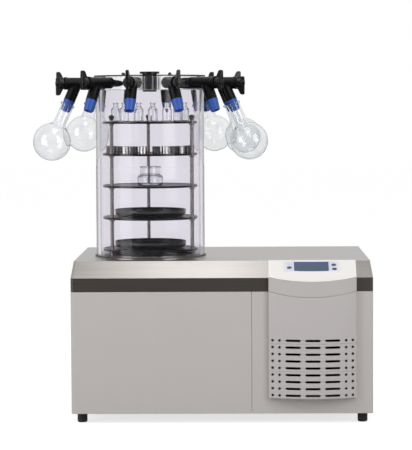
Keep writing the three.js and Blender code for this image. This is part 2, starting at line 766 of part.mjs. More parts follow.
function slotShape() {
  const [run, r] = [(SLOT_LENGTH - SLOT_HEIGHT) / 2, SLOT_HEIGHT / 2];
  const shape = new THREE.Shape();
  shape.absarc(run, 0, r, -Math.PI / 2, Math.PI / 2);
  shape.absarc(-run, 0, r, Math.PI / 2, (3 * Math.PI) / 2);
  return shape;
}

/** Bowed ventilation cover: rows of slots, with round holes at both ends of each row. */
function grilleCover() {
  const shell = cut(
    acrossModule((x) => grilleOutline(x, 0, -GAP)),
    acrossModule((x) => grilleOutline(x, GRILLE_WALL, SHEET), GRILLE_WALL),
  );
  const slot = alongY(extruded(slotShape(), -2 * MODULE_BULGE, -MODULE_SIDE_DEPTH / 2, SLOT_END_STEPS));
  const hole = alongY(rod(HOLE_RADIUS, -2 * MODULE_BULGE, -MODULE_SIDE_DEPTH / 2, BORE_SIDES));
  const cutters = Array.from({ length: GRILLE_ROWS }, (_, row) => {
    const z = GRILLE_BOTTOM + GRILLE_FIRST_ROW + row * GRILLE_ROW_PITCH;
    const slots = [-1, 0, 1].map((n) => slot.clone().translate(MODULE_X + n * SLOT_PITCH, 0, z));
    const holes = HOLE_SHIFTS.map((shift) => hole.clone().translate(MODULE_X + shift, 0, z));
    return [...slots, ...holes];
  });
  return cut(shell, ...cutters.flat());
}

function displayWindow() {
  const [w, h] = [DISPLAY_SIZE.x / 2, DISPLAY_SIZE.y / 2];
  return box(-w, w, -h, h, -DISPLAY_THICK, GAP).applyMatrix4(displayPlace());
}

function button({ shift, down }) {
  const plunger = extruded(
    ovalShape(BUTTON_SIZE.x, BUTTON_SIZE.y), BUTTON_PROUD - BUTTON_LENGTH, BUTTON_PROUD, SMALL / 2,
  );
  return plunger.applyMatrix4(onFascia(shift, down));
}

// ---------------------------------------------------------------- condenser and drum

/** Deep-drawn pot hung by its flange, with the vacuum pipe led out through the rear. */
function condenserPot() {
  const top = POT_FLANGE_TOP;
  const floor = top - POT_DEPTH;
  const outer = POT_RADIUS + POT_WALL;
  const pot = turned([
    [0, floor - POT_WALL],
    [outer, floor - POT_WALL],
    [outer, top - POT_WALL],
    [POT_FLANGE_RADIUS, top - POT_WALL],
    [POT_FLANGE_RADIUS, top],
    [POT_RADIUS, top],
    [POT_RADIUS, floor],
    [0, floor],
  ], FINE);
  const end = CABINET_DEPTH - DRUM_Y + PIPE_OUT;
  const pipe = alongY(turned([
    [0, POT_RADIUS],
    [PIPE_RADIUS, POT_RADIUS],
    [PIPE_RADIUS, end - 2 * PIPE_FLANGE_THICK],
    [PIPE_FLANGE_RADIUS, end - PIPE_FLANGE_THICK],
    [PIPE_FLANGE_RADIUS, end],
    [0, end],
  ], MEDIUM)).translate(0, 0, PIPE_Z);
  const bore = alongY(rod(PIPE_BORE, POT_RADIUS / 2, end + OVERCUT, MEDIUM)).translate(0, 0, PIPE_Z);
  const roundInside = rod(POT_RADIUS, floor, top, FINE);
  return cut(join(pot, cut(pipe, roundInside)), bore).translate(DRUM_X, DRUM_Y, 0);
}

class Helix extends THREE.Curve {
  constructor(radius, pitch, turns) {
    super();
    Object.assign(this, { radius, pitch, turns });
  }

  getPoint(t, target = new THREE.Vector3()) {
    const angle = 2 * Math.PI * this.turns * t;
    return target.set(
      this.radius * Math.cos(angle),
      this.radius * Math.sin(angle),
      this.pitch * this.turns * t,
    );
  }
}

/** Evaporator tube wound round the pot. Its bends lie just clear of the pot's wall. */
function condenserCoil() {
  const path = new Helix(
    (POT_RADIUS + POT_WALL + GAP + COIL_TUBE) / Math.cos(Math.PI / MEDIUM), COIL_PITCH, COIL_TURNS,
  );
  const section = new THREE.Shape().absarc(0, 0, COIL_TUBE, 0, 2 * Math.PI);
  const tube = new THREE.ExtrudeGeometry(section, {
    steps: COIL_TURNS * MEDIUM,
    curveSegments: BORE_SIDES / 2,
    extrudePath: path,
    bevelEnabled: false,
  });
  return tube.translate(DRUM_X, DRUM_Y, POT_FLANGE_TOP - POT_DEPTH + COIL_LOW_TURN);
}

function baseSeal() {
  const seal = ring(SEAL_INNER_RADIUS, SEAL_RADIUS, SEAL_BOTTOM, SEAL_BOTTOM + SEAL_HEIGHT, FINE);
  return seal.translate(DRUM_X, DRUM_Y, 0);
}

function drum() {
  const tube = ring(DRUM_RADIUS - DRUM_WALL, DRUM_RADIUS, DRUM_BOTTOM, DRUM_BOTTOM + DRUM_HEIGHT, FINE);
  return tube.translate(DRUM_X, DRUM_Y, 0);
}

function valveAzimuth(n) {
  return VALVE_FIRST_ANGLE + (360 / VALVE_COUNT) * n;
}

/** Thick clear disc, drilled in from the rim for each valve and down into the drum. */
function manifoldLid() {
  const disc = turned([
    [0, LID_BOTTOM],
    [LID_RADIUS, LID_BOTTOM],
    [LID_RADIUS, LID_TOP - LID_CHAMFER],
    [LID_RADIUS - LID_CHAMFER, LID_TOP],
    [0, LID_TOP],
  ], LID_SIDES);
  const bores = Array.from({ length: VALVE_COUNT }, (_, n) => {
    const end = LID_RADIUS - STUB_LENGTH - OVERCUT;
    const across = alongX(rod(STUB_RADIUS + RUNNING_GAP, end, LID_RADIUS + OVERCUT, SMALL));
    across.translate(0, 0, VALVE_Z);
    const down = rod(STUB_BORE, LID_BOTTOM - OVERCUT, VALVE_Z, BORE_SIDES);
    down.translate(end + STUB_RADIUS, 0, 0);
    return join(across, down).rotateZ(radians(valveAzimuth(n) - 90));
  });
  const hole = rod(STOPPER_RADIUS + 2 * GAP, LID_BOTTOM - OVERCUT, LID_TOP + OVERCUT, MEDIUM);
  return cut(disc, hole, ...bores).translate(DRUM_X, DRUM_Y, 0);
}

function centreStopper() {
  const shoulder = LID_TOP + GAP;
  const head = shoulder + STOPPER_NECK_HEIGHT;
  return turned([
    [0, LID_BOTTOM - STOPPER_BELOW],
    [STOPPER_RADIUS, LID_BOTTOM - STOPPER_BELOW],
    [STOPPER_RADIUS, shoulder],
    [STOPPER_NECK_RADIUS + 2 * GAP, shoulder],
    [STOPPER_NECK_RADIUS, head],
    [STOPPER_HEAD_RADIUS, head],
    [STOPPER_HEAD_RADIUS, head + STOPPER_HEAD_HEIGHT - STOPPER_CHAMFER],
    [STOPPER_HEAD_RADIUS - STOPPER_CHAMFER, head + STOPPER_HEAD_HEIGHT],
    [0, head + STOPPER_HEAD_HEIGHT],
  ], MEDIUM).translate(DRUM_X, DRUM_Y, 0);
}

// ---------------------------------------------------------------- shelf rack

function onRodCircle(geometry, angle) {
  return geometry.clone().translate(
    ROD_CIRCLE * Math.cos(radians(angle)), ROD_CIRCLE * Math.sin(radians(angle)), 0,
  );
}

/** Foot ring with three rods; each rod has a collar under every shelf and a ball knob on top. */
function rackFrame() {
  const bottom = POT_FLANGE_TOP + GAP;
  const ballBottom = SHELF_BOTTOMS[0] + SHELF_THICK + ROD_TOP - KNOB_BALL_SINK;
  const collars = [...SHELF_BOTTOMS].reverse().flatMap((z) => [
    [ROD_RADIUS, z - GAP - COLLAR_HEIGHT],
    [COLLAR_RADIUS, z - GAP],
    [ROD_RADIUS, z - GAP],
  ]);
  const ball = [-60, -20, 20, 60].map((degrees) => [
    KNOB_BALL_RADIUS * Math.cos(radians(degrees)),
    ballBottom + (KNOB_BALL_HEIGHT / 2) * (1 + Math.sin(radians(degrees))),
  ]);
  const post = turned([
    [0, bottom + RACK_RING_HEIGHT / 2],
    [ROD_RADIUS, bottom + RACK_RING_HEIGHT / 2],
    ...collars,
    [ROD_RADIUS, ballBottom],
    ...ball,
    [0, ballBottom + KNOB_BALL_HEIGHT],
  ], SMALL);
  const foot = ring(
    RACK_RING_RADIUS - RACK_RING_WIDTH, RACK_RING_RADIUS, bottom, bottom + RACK_RING_HEIGHT, FINE,
  );
  return join(foot, ...ROD_ANGLES.map((angle) => onRodCircle(post, angle))).translate(DRUM_X, DRUM_Y, 0);
}

/** A bare shelf: a round plate with a notch for each rod, its underside at z = 0. */
function shelfPlate() {
  const plate = rod(SHELF_RADIUS, 0, SHELF_THICK, FINE);
  const notch = rod(ROD_RADIUS + 2 * GAP, -OVERCUT, SHELF_THICK + OVERCUT, SMALL);
  return cut(plate, ...ROD_ANGLES.map((angle) => onRodCircle(notch, angle)));
}

/** Open glass vial with a narrower neck, standing at z = 0. */
function vial() {
  return turned([
    [0, 0],
    [VIAL_RADIUS, 0],
    [VIAL_RADIUS, VIAL_SHOULDER],
    [VIAL_NECK_RADIUS, VIAL_NECK_BASE],
    [VIAL_NECK_RADIUS, VIAL_HEIGHT],
    [VIAL_NECK_RADIUS - VIAL_WALL, VIAL_HEIGHT],
    [VIAL_NECK_RADIUS - VIAL_WALL, VIAL_NECK_BASE],
    [VIAL_RADIUS - VIAL_WALL, VIAL_SHOULDER - VIAL_WALL],
    [VIAL_RADIUS - VIAL_WALL, 2 * VIAL_WALL],
    [0, 2 * VIAL_WALL],
  ], GLASSWARE_SIDES);
}

/** Squat open jar: a round-shouldered body and a wide neck with a rim, standing at z = 0. */
function jar() {
  const inner = JAR_NECK_RADIUS - JAR_WALL;
  return turned([
    [0, 0],
    [JAR_RADIUS - JAR_FOOT_INSET, 0],
    [JAR_RADIUS, JAR_FOOT_RISE],
    [JAR_RADIUS, JAR_BODY_HEIGHT - JAR_SHOULDER],
    [JAR_NECK_RADIUS, JAR_BODY_HEIGHT],
    [JAR_NECK_RADIUS, JAR_HEIGHT - JAR_LIP_HEIGHT],
    [JAR_NECK_RADIUS + JAR_LIP_PROUD, JAR_HEIGHT - JAR_LIP_HEIGHT / 2],
    [JAR_NECK_RADIUS, JAR_HEIGHT],
    [inner, JAR_HEIGHT],
    [inner, JAR_BODY_HEIGHT],
    [JAR_RADIUS - JAR_WALL, JAR_BODY_HEIGHT - JAR_SHOULDER - JAR_WALL],
    [JAR_RADIUS - JAR_WALL, 2 * JAR_WALL],
    [0, 2 * JAR_WALL],
  ], COARSE);
}

function shelfContents(n) {
  const seat = SHELF_THICK - 0.1;
  const vials = () => VIAL_ANGLES.map((angle) => roundDrum(vial(), VIAL_CIRCLE, angle));
  const cups = () => CUP_FIRST_ANGLES.flatMap((first) => (
    Array.from({ length: CUPS_PER_RUN }, (_, k) => (
      roundDrum(rod(CUP_RADIUS, 0, CUP_HEIGHT, GLASSWARE_SIDES), CUP_CIRCLE, first + k * CUP_STEP)
    ))
  ));
  const loads = { 1: vials, 2: cups, 3: () => [jar()] };
  return (loads[n]?.() ?? []).map((piece) => piece.translate(0, 0, seat));
}

function shelf(n) {
  return join(shelfPlate(), ...shelfContents(n)).translate(DRUM_X, DRUM_Y, SHELF_BOTTOMS[n - 1]);
}

function sampleTray(n) {
  const base = SHELF_BOTTOMS[n - 1] + SHELF_THICK + GAP;
  return turned([
    [0, 0],
    [TRAY_BASE_RADIUS, 0],
    [TRAY_RIM_RADIUS - TRAY_LIP, TRAY_HEIGHT - 2 * TRAY_WALL],
    [TRAY_RIM_RADIUS, TRAY_HEIGHT - TRAY_WALL],
    [TRAY_RIM_RADIUS, TRAY_HEIGHT],
    [TRAY_RIM_RADIUS - TRAY_LIP - TRAY_WALL, TRAY_HEIGHT],
    [TRAY_BASE_RADIUS - TRAY_WALL, TRAY_WALL],
    [0, TRAY_WALL],
  ], TRAY_SIDES).translate(DRUM_X, DRUM_Y, base);
}

// ---------------------------------------------------------------- valves and flasks

/** Points a piece built along +Z down the branch, from the branch's root on the barrel. */
function alongBranch(geometry) {
  return geometry.rotateX(Math.PI).rotateY(radians(-BRANCH_TILT)).translate(BRANCH_AT, 0, 0);
}

/** Valve body with its barrel along +X from the lid's rim, and its branch and cone below. */
function valveBody() {
  const barrel = alongX(turned([
    [0, -STUB_LENGTH],
    [STUB_RADIUS, -STUB_LENGTH],
    [STUB_RADIUS, 0],
    [BARREL_RADIUS, 0],
    [BARREL_RADIUS, BARREL_LENGTH - BARREL_COLLAR_LENGTH],
    [BARREL_COLLAR_RADIUS, BARREL_LENGTH - BARREL_COLLAR_LENGTH],
    [BARREL_COLLAR_RADIUS, BARREL_LENGTH],
    [0, BARREL_LENGTH],
  ], SMALL));
  const branch = alongBranch(turned([
    [0, 0],
    [BARREL_RADIUS, 0],
    [BARREL_RADIUS, BRANCH_LENGTH],
    [CONE_TIP_RADIUS, BRANCH_LENGTH + CONE_LENGTH],
    [0, BRANCH_LENGTH + CONE_LENGTH],
  ], SMALL));
  const branchBore = alongBranch(rod(BRANCH_BORE, 0, BRANCH_LENGTH + CONE_LENGTH + OVERCUT, BORE_SIDES));
  const stubBore = alongX(rod(STUB_BORE, -STUB_LENGTH - OVERCUT, BARREL_LENGTH / 2, BORE_SIDES));
  const plugBore = alongX(
    rod(PLUG_BORE, BARREL_LENGTH - PLUG_DEPTH - OVERCUT, BARREL_LENGTH + OVERCUT, SMALL),
  );
  return cut(join(barrel, branch), branchBore, stubBore, plugBore);
}

/** Lever as a fin along the barrel: an arm with a slanting inner edge, and a short tail. */
function lever(start, end) {
  const fin = extruded(new THREE.Shape([
    new THREE.Vector2(start, -LEVER_TAIL),
    new THREE.Vector2(end, -LEVER_TAIL),
    new THREE.Vector2(end, 0),
    new THREE.Vector2(end, LEVER_ARM),
    new THREE.Vector2(end - LEVER_TIP_LENGTH, LEVER_ARM),
    new THREE.Vector2(start, LEVER_SHOULDER),
    new THREE.Vector2(start, 0),
  ]), -1 / 2, 1 / 2, CORNER_STEPS).rotateX(Math.PI / 2);
  const corners = fin.getAttribute("position");
  for (let n = 0; n < corners.count; n += 1) {
    const reach = corners.getZ(n) > 0 ? corners.getZ(n) / LEVER_ARM : -corners.getZ(n) / LEVER_TAIL;
    const width = LEVER_ROOT_WIDTH + (LEVER_TIP_WIDTH - LEVER_ROOT_WIDTH) * reach;
    corners.setY(n, corners.getY(n) * width);
  }
  return fin;
}

/** Turning plug: a shaft in the barrel, and outside it the knob with its lever up. */
function valvePlug() {
  const face = BARREL_LENGTH + GAP;
  const end = face + KNOB_LENGTH + KNOB_HUB_LENGTH;
  const spindle = alongX(turned([
    [0, BARREL_LENGTH - PLUG_DEPTH],
    [PLUG_RADIUS, BARREL_LENGTH - PLUG_DEPTH],
    [PLUG_RADIUS, face],
    [KNOB_RADIUS, face],
    [KNOB_RADIUS, face + KNOB_LENGTH],
    [KNOB_HUB_RADIUS, face + KNOB_LENGTH],
    [KNOB_HUB_RADIUS, end],
    [0, end],
  ], SMALL));
  return join(spindle, lever(face + LEVER_START, end - LEVER_SHORT));
}

/** Points round part of a circle, from one angle to another in degrees, as [radius, height]. */
function arcPoints(radius, height, from, to, steps) {
  return Array.from({ length: steps + 1 }, (_, n) => {
    const angle = radians(from + ((to - from) * n) / steps);
    return [radius * Math.cos(angle), height + radius * Math.sin(angle)];
  });
}

/** Blown round-bottomed flask hung from z = 0 at its lip, with its bulb's middle at -neck. */
function flask(neck) {
  const meets = (tube, bulb) => (Math.acos(tube / bulb) * 180) / Math.PI;
  const [inner, hollow] = [NECK_RADIUS - FLASK_WALL, BULB_RADIUS - FLASK_WALL];
  return turned([
    ...arcPoints(BULB_RADIUS, -neck, -90, meets(NECK_RADIUS, BULB_RADIUS), BULB_STEPS),
    [NECK_RADIUS, -LIP_HEIGHT],
    [LIP_RADIUS, -LIP_HEIGHT / 2],
    [LIP_RADIUS - FLASK_WALL / 2, 0],
    [inner, 0],
    ...arcPoints(hollow, -neck, meets(inner, hollow), -90, HOLLOW_STEPS),
  ], COARSE);
}

/** One valve, turned to its place on the lid's rim, and its flask if it has one. */
function addValve(n) {
  const azimuth = radians(valveAzimuth(n) - 90);
  const holder = group(
    assembly,
    DRUM_X + VALVE_CIRCLE * Math.cos(azimuth),
    DRUM_Y + VALVE_CIRCLE * Math.sin(azimuth),
    VALVE_Z,
  );
  holder.rotation.z = azimuth;
  const number = String(n + 1).padStart(2, "0");
  const lean = radians(BRANCH_LEANS[n] ?? 0);
  const body = add(`valve_body_${number}`, valveBody(), "blackRubber", holder);
  body.rotation.x = lean;
  const plug = add(`valve_plug_${number}`, valvePlug(), "blackPlastic", holder);
  plug.rotation.x = LEVERS_DOWN.includes(n) ? Math.PI : 0;
  const hung = FLASKS.findIndex(({ valve }) => valve === n);
  if (hung >= 0) {
    const branch = group(holder, BRANCH_AT, 0, 0);
    branch.rotation.set(lean, radians(-BRANCH_TILT), 0);
    const piece = add(`flask_${hung + 1}`, flask(FLASKS[hung].neck), "glass", branch);
    piece.position.z = -(BRANCH_LENGTH + LIP_UP_CONE);
  }
}

// ---------------------------------------------------------------- machinery

/** Sealed compressor can on a foot plate with four rubber-bushed legs. */
function compressor() {
  const base = PAN_FLOOR + SHEET + GAP;
  const seat = base + COMPRESSOR_LEG;
  const can = turned(COMPRESSOR_CAN.map(([radius, height]) => [radius, seat + height]), MEDIUM);
  const half = COMPRESSOR_PLATE_SIZE / 2;
  const plate = box(-half, half, -half, half, seat, seat + COMPRESSOR_PLATE_THICK);
  const leg = rod(COMPRESSOR_LEG_RADIUS, base, seat + COMPRESSOR_PLATE_THICK / 2, SMALL);
  const corner = half - COMPRESSOR_LEG_INSET;
  const legs = [-1, 1].flatMap((i) => [-1, 1].map((j) => leg.clone().translate(i * corner, j * corner, 0)));
  return join(can, plate, ...legs).translate(COMPRESSOR_PLACE.x, COMPRESSOR_PLACE.y, 0);
}

/** A round bar on the fan's axis, between two depths behind the front panels. */
function onFanAxis(radius, y0, y1, sides) {
  return alongY(rod(radius, y0, y1, sides)).translate(FAN_X, 0, FAN_Z);
}

/** Upright fins between two header pipes. */
function radiatorCore(x0, x1, z0, z1) {
  const [y0, y1] = [RADIATOR_FRONT, RADIATOR_FRONT + RADIATOR_DEPTH];
  const fins = Array.from({ length: RADIATOR_FINS }, (_, n) => {
    const x = x0 + (n * (x1 - x0)) / (RADIATOR_FINS - 1) - SHEET / 2;
    return box(x, x + SHEET, y0, y1, z0, z1);
  });
  const headers = [x0, x1].map((x) => (
    rod(RADIATOR_HEADER, z0, z1 - SHEET, BORE_SIDES).translate(x, (y0 + y1) / 2, 0)
  ));
  return [...fins, ...headers];
}

/** Sheet box behind the fins, with the fan's hole in its back and two feet on the pan. */
function fanShroud(x0, x1, z0, z1) {
  const front = RADIATOR_FRONT + RADIATOR_DEPTH;
  const shell = cut(
    box(x0 - SHEET, x1 + SHEET, front - SHEET, SHROUD_BACK, z0 - SHEET, z1 + SHEET),
    box(x0, x1, front - 2 * SHEET, SHROUD_BACK - SHEET, z0, z1),
    onFanAxis(SHROUD_HOLE_RADIUS, front, SHROUD_BACK + OVERCUT, MEDIUM),
  );
  const half = SHROUD_FOOT_WIDTH / 2;
  const feet = [x0 + half, x1 - half].map((x) => box(
    x - half, x + half,
    front + SHEET, SHROUD_BACK - SHEET, PAN_FLOOR + SHEET + GAP, z0 - SHEET / 2,
  ));
  return [shell, ...feet];
}

/** Fan motor, carried behind the shroud by a bar on two struts. */
function fanMotor() {
  const back = MOTOR_FRONT + MOTOR_BAR_BACK;
  const motor = cut(
    onFanAxis(MOTOR_RADIUS, MOTOR_FRONT, MOTOR_FRONT + MOTOR_LENGTH, SMALL),
    onFanAxis(SHAFT_RADIUS + RUNNING_GAP, MOTOR_FRONT - OVERCUT, MOTOR_FRONT + SHAFT_DEPTH + SHEET, SMALL),
  );
  const half = MOTOR_BAR_HEIGHT / 2;
  const bar = box(
    FAN_X - MOTOR_BAR_REACH, FAN_X + MOTOR_BAR_REACH,
    back, back + MOTOR_BAR_THICK, FAN_Z - half, FAN_Z + half,
  );
  const struts = [-1, 1].map((side) => {
    const x = FAN_X + side * (MOTOR_BAR_REACH - STRUT_THICK / 2);
    return box(
      x - STRUT_THICK / 2, x + STRUT_THICK / 2,
      SHROUD_BACK - SHEET / 2, back + MOTOR_BAR_THICK / 2, FAN_Z - half, FAN_Z + half,
    );
  });
  return [motor, bar, ...struts];
}

/** Finned condenser behind the grille, with its fan shroud and motor. */
function radiator() {
  const [x0, x1] = [MODULE_X - RADIATOR_WIDTH / 2, MODULE_X + RADIATOR_WIDTH / 2];
  const [z0, z1] = [FAN_Z - RADIATOR_HEIGHT / 2, FAN_Z + RADIATOR_HEIGHT / 2];
  return join(...radiatorCore(x0, x1, z0, z1), ...fanShroud(x0, x1, z0, z1), ...fanMotor());
}

/** Fan with pitched blades, its shaft running in the motor. */
function fanRotor() {
  const middle = SHROUD_BACK - SHROUD_DEPTH / 2 + OVERCUT;
  const [width, thick] = [BLADE_WIDTH / 2, BLADE_THICK / 2];
  const blade = box(-width, width, FAN_HUB_RADIUS - BLADE_ROOT, FAN_RADIUS, -thick, thick);
  blade.rotateY(radians(BLADE_PITCH));
  const blades = Array.from({ length: FAN_BLADES }, (_, n) => (
    blade.clone().rotateZ((2 * Math.PI * n) / FAN_BLADES)
  ));
  const hub = rod(FAN_HUB_RADIUS, -FAN_DEPTH / 2, FAN_DEPTH / 2, SMALL);
  const shaft = rod(SHAFT_RADIUS, 0, MOTOR_FRONT + SHAFT_DEPTH - middle, SMALL);
  return alongY(join(hub, shaft, ...blades)).translate(FAN_X, middle, FAN_Z);
}

/** Rocker of the mains switch, turned about X through its pivot at the origin. */
function rocker() {
  const shape = new THREE.Shape([
    new THREE.Vector2(-ROCKER_ROOT, -ROCKER_ROOT),
    new THREE.Vector2(ROCKER_FACE, -ROCKER_END),
    new THREE.Vector2(ROCKER_RIDGE, 0),
    new THREE.Vector2(ROCKER_FACE, ROCKER_END),
    new THREE.Vector2(-ROCKER_ROOT, ROCKER_ROOT),
  ]);
  return extruded(shape, -ROCKER_WIDTH / 2, ROCKER_WIDTH / 2).rotateX(Math.PI / 2).rotateZ(Math.PI / 2);
}

// ---------------------------------------------------------------- assembly

add("base_pan", basePan(), "paintedSteel");
add("cabinet_wrap", cabinetWrap(), "paintedSteel");
add("left_front_panel", leftFrontPanel(), "paintedSteel");
add("right_front_panel", rightFrontPanel(), "paintedSteel");
add("trim_band", trimBand(), "darkBand");
add("top_cover", topCover(), "brushedSteel");

add("control_fascia", controlFascia(), "whiteFascia");
add("fascia_chin", fasciaChin(), "greyMoulding");
add("grille_cover", grilleCover(), "greyMoulding");
add("display_window", displayWindow(), "display");
BUTTONS.forEach((place) => add(place.name, button(place), "button"));

add("condenser_pot", condenserPot(), "brushedSteel");
add("condenser_coil", condenserCoil(), "copper");
add("base_seal", baseSeal(), "blackRubber");
add("drum", drum(), "acrylic");
add("manifold_lid", manifoldLid(), "acrylic");
add("centre_stopper", centreStopper(), "blackPlastic");

add("rack_frame", rackFrame(), "steel");
for (let n = 1; n <= SHELF_COUNT; n += 1) {
  add(`shelf_${n}`, shelf(n), "shelfBlack");
}
TRAY_SHELVES.forEach((n, k) => add(`sample_tray_${k + 1}`, sampleTray(n), "shelfBlack"));
for (let n = 0; n < VALVE_COUNT; n += 1) {
  addValve(n);
}

add("compressor", compressor(), "blackEnamel");
add("radiator", radiator(), "aluminium");
add("fan_rotor", fanRotor(), "blackPlastic");
const mainsSwitch = add("mains_switch", rocker(), "blackPlastic");
mainsSwitch.position.set(INLET_X, CABINET_DEPTH - ROCKER_PIVOT_DEPTH, SWITCH_Z);
mainsSwitch.rotation.x = radians(-ROCKER_TILT);

// The origin goes to the bottom centre of the whole object's box.
assembly.updateMatrixWorld(true);
const extent = new THREE.Box3().setFromObject(assembly, true);
const centre = extent.getCenter(new THREE.Vector3());
assembly.position.set(-centre.x, -centre.y, -extent.min.z);

export default assembly;
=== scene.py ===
"""Bench-top freeze dryer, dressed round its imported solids.

A steel cabinet carries a clear drying drum with a five-shelf rack, and the drum's lid carries
twelve flask valves. Everything is in metres, +Z up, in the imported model's own frame. Levels and
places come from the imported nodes; what they don't give is a field of the class that needs it.
"""

import json
import logging
import math
from abc import ABC, abstractmethod
from collections.abc import Callable, Iterable, Sequence
from dataclasses import dataclass, field
from enum import Enum

import bmesh
import bpy
from mathutils import Matrix, Vector


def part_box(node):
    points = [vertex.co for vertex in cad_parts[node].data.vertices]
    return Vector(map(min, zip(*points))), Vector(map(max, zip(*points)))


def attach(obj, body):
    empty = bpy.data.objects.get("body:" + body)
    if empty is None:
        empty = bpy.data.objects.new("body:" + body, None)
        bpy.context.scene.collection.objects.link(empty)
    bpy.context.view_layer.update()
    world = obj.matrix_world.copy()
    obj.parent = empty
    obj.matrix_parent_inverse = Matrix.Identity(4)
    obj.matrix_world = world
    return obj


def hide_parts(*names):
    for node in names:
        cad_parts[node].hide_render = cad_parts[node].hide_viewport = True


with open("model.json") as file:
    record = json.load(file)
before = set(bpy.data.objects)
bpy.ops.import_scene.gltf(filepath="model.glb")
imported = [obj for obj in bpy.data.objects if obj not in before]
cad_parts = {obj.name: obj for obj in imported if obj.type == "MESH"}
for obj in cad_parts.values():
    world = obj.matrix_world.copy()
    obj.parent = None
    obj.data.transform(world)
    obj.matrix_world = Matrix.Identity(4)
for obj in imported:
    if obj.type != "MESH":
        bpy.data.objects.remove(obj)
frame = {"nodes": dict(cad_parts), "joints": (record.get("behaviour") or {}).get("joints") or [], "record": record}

Colour = tuple[float, float, float, float]
Outline = Sequence[tuple[float, float]]

ROOT = "root"

# The gap between pieces that fit together, and the distance under which two points are one.
FIT = 0.0003
SAME = 1e-6

# The bend at which shading breaks.
SHARP = math.radians(32)

# The least bends, in degrees, of the edges that are rounded: near-square corners only, steep
# ones too, all plain corners, and blunt ones as well.
SQUARE = 60.0
STEEP = 50.0
CORNER = 40.0
BLUNT = 30.0

logger = logging.getLogger("freeze_dryer")


# ---------------------------------------------------------------- shader kit


def colour(code: str) -> Colour:
    """Turns a web colour into scene-linear numbers.

    Args:
        code: Six hexadecimal digits after a hash sign.

    Returns:
        Red, green, blue and an alpha of 1.
    """
    levels = [int(code[n : n + 2], 16) / 255 for n in (1, 3, 5)]
    red, green, blue = (v / 12.92 if v <= 0.04045 else ((v + 0.055) / 1.055) ** 2.4 for v in levels)
    return (red, green, blue, 1.0)


class Signal:
    """A number that changes over a surface: a node's output, on which plain maths adds nodes."""

    def __init__(self, tree: bpy.types.NodeTree, socket: bpy.types.NodeSocket) -> None:
        """Wraps one output socket of a node tree."""
        self.tree = tree
        self.socket = socket

    def _maths(self, operation: str, *values: "Signal | float", clamp: bool = False) -> "Signal":
        """Adds one Math node.

        Args:
            operation: The node's operation.
            values: What goes into its sockets, in order.
            clamp: Whether the result is held between 0 and 1.

        Returns:
            The node's result.
        """
        node = self.tree.nodes.new("ShaderNodeMath")
        node.operation = operation
        node.use_clamp = clamp
        for socket, value in zip(node.inputs, values):
            if isinstance(value, Signal):
                self.tree.links.new(value.socket, socket)
            else:
                socket.default_value = value
        return Signal(self.tree, node.outputs[0])

    def __add__(self, other: "Signal | float") -> "Signal":
        """Sum."""
        return self._maths("ADD", self, other)

    def __radd__(self, other: float) -> "Signal":
        """Sum with a plain number on the left."""
        return self._maths("ADD", other, self)

    def __sub__(self, other: "Signal | float") -> "Signal":
        """Difference."""
        return self._maths("SUBTRACT", self, other)

    def __rsub__(self, other: float) -> "Signal":
        """Difference from a plain number."""
        return self._maths("SUBTRACT", other, self)

    def __mul__(self, other: "Signal | float") -> "Signal":
        """Product."""
        return self._maths("MULTIPLY", self, other)

    def __rmul__(self, other: float) -> "Signal":
        """Product with a plain number on the left."""
        return self._maths("MULTIPLY", other, self)

    def __truediv__(self, other: "Signal | float") -> "Signal":
        """Quotient."""
        return self._maths("DIVIDE", self, other)

    def __abs__(self) -> "Signal":
        """Size without its sign."""
        return self._maths("ABSOLUTE", self)

    def fraction(self) -> "Signal":
        """What is left over the next lower whole number."""
        return self._maths("FRACT", self)

    def clamped(self) -> "Signal":
        """The same, held between 0 and 1."""
        return self._maths("ADD", self, 0.0, clamp=True)

    def within(self, edge: float, blur: float) -> "Signal":
        """1 where the signal lies under an edge and 0 over it.

        Args:
            edge: Where the result falls through a half.
            blur: Over how much it falls from 1 to 0.

        Returns:
            The mask.
        """
        return ((edge - self) / blur + 0.5).clamped()


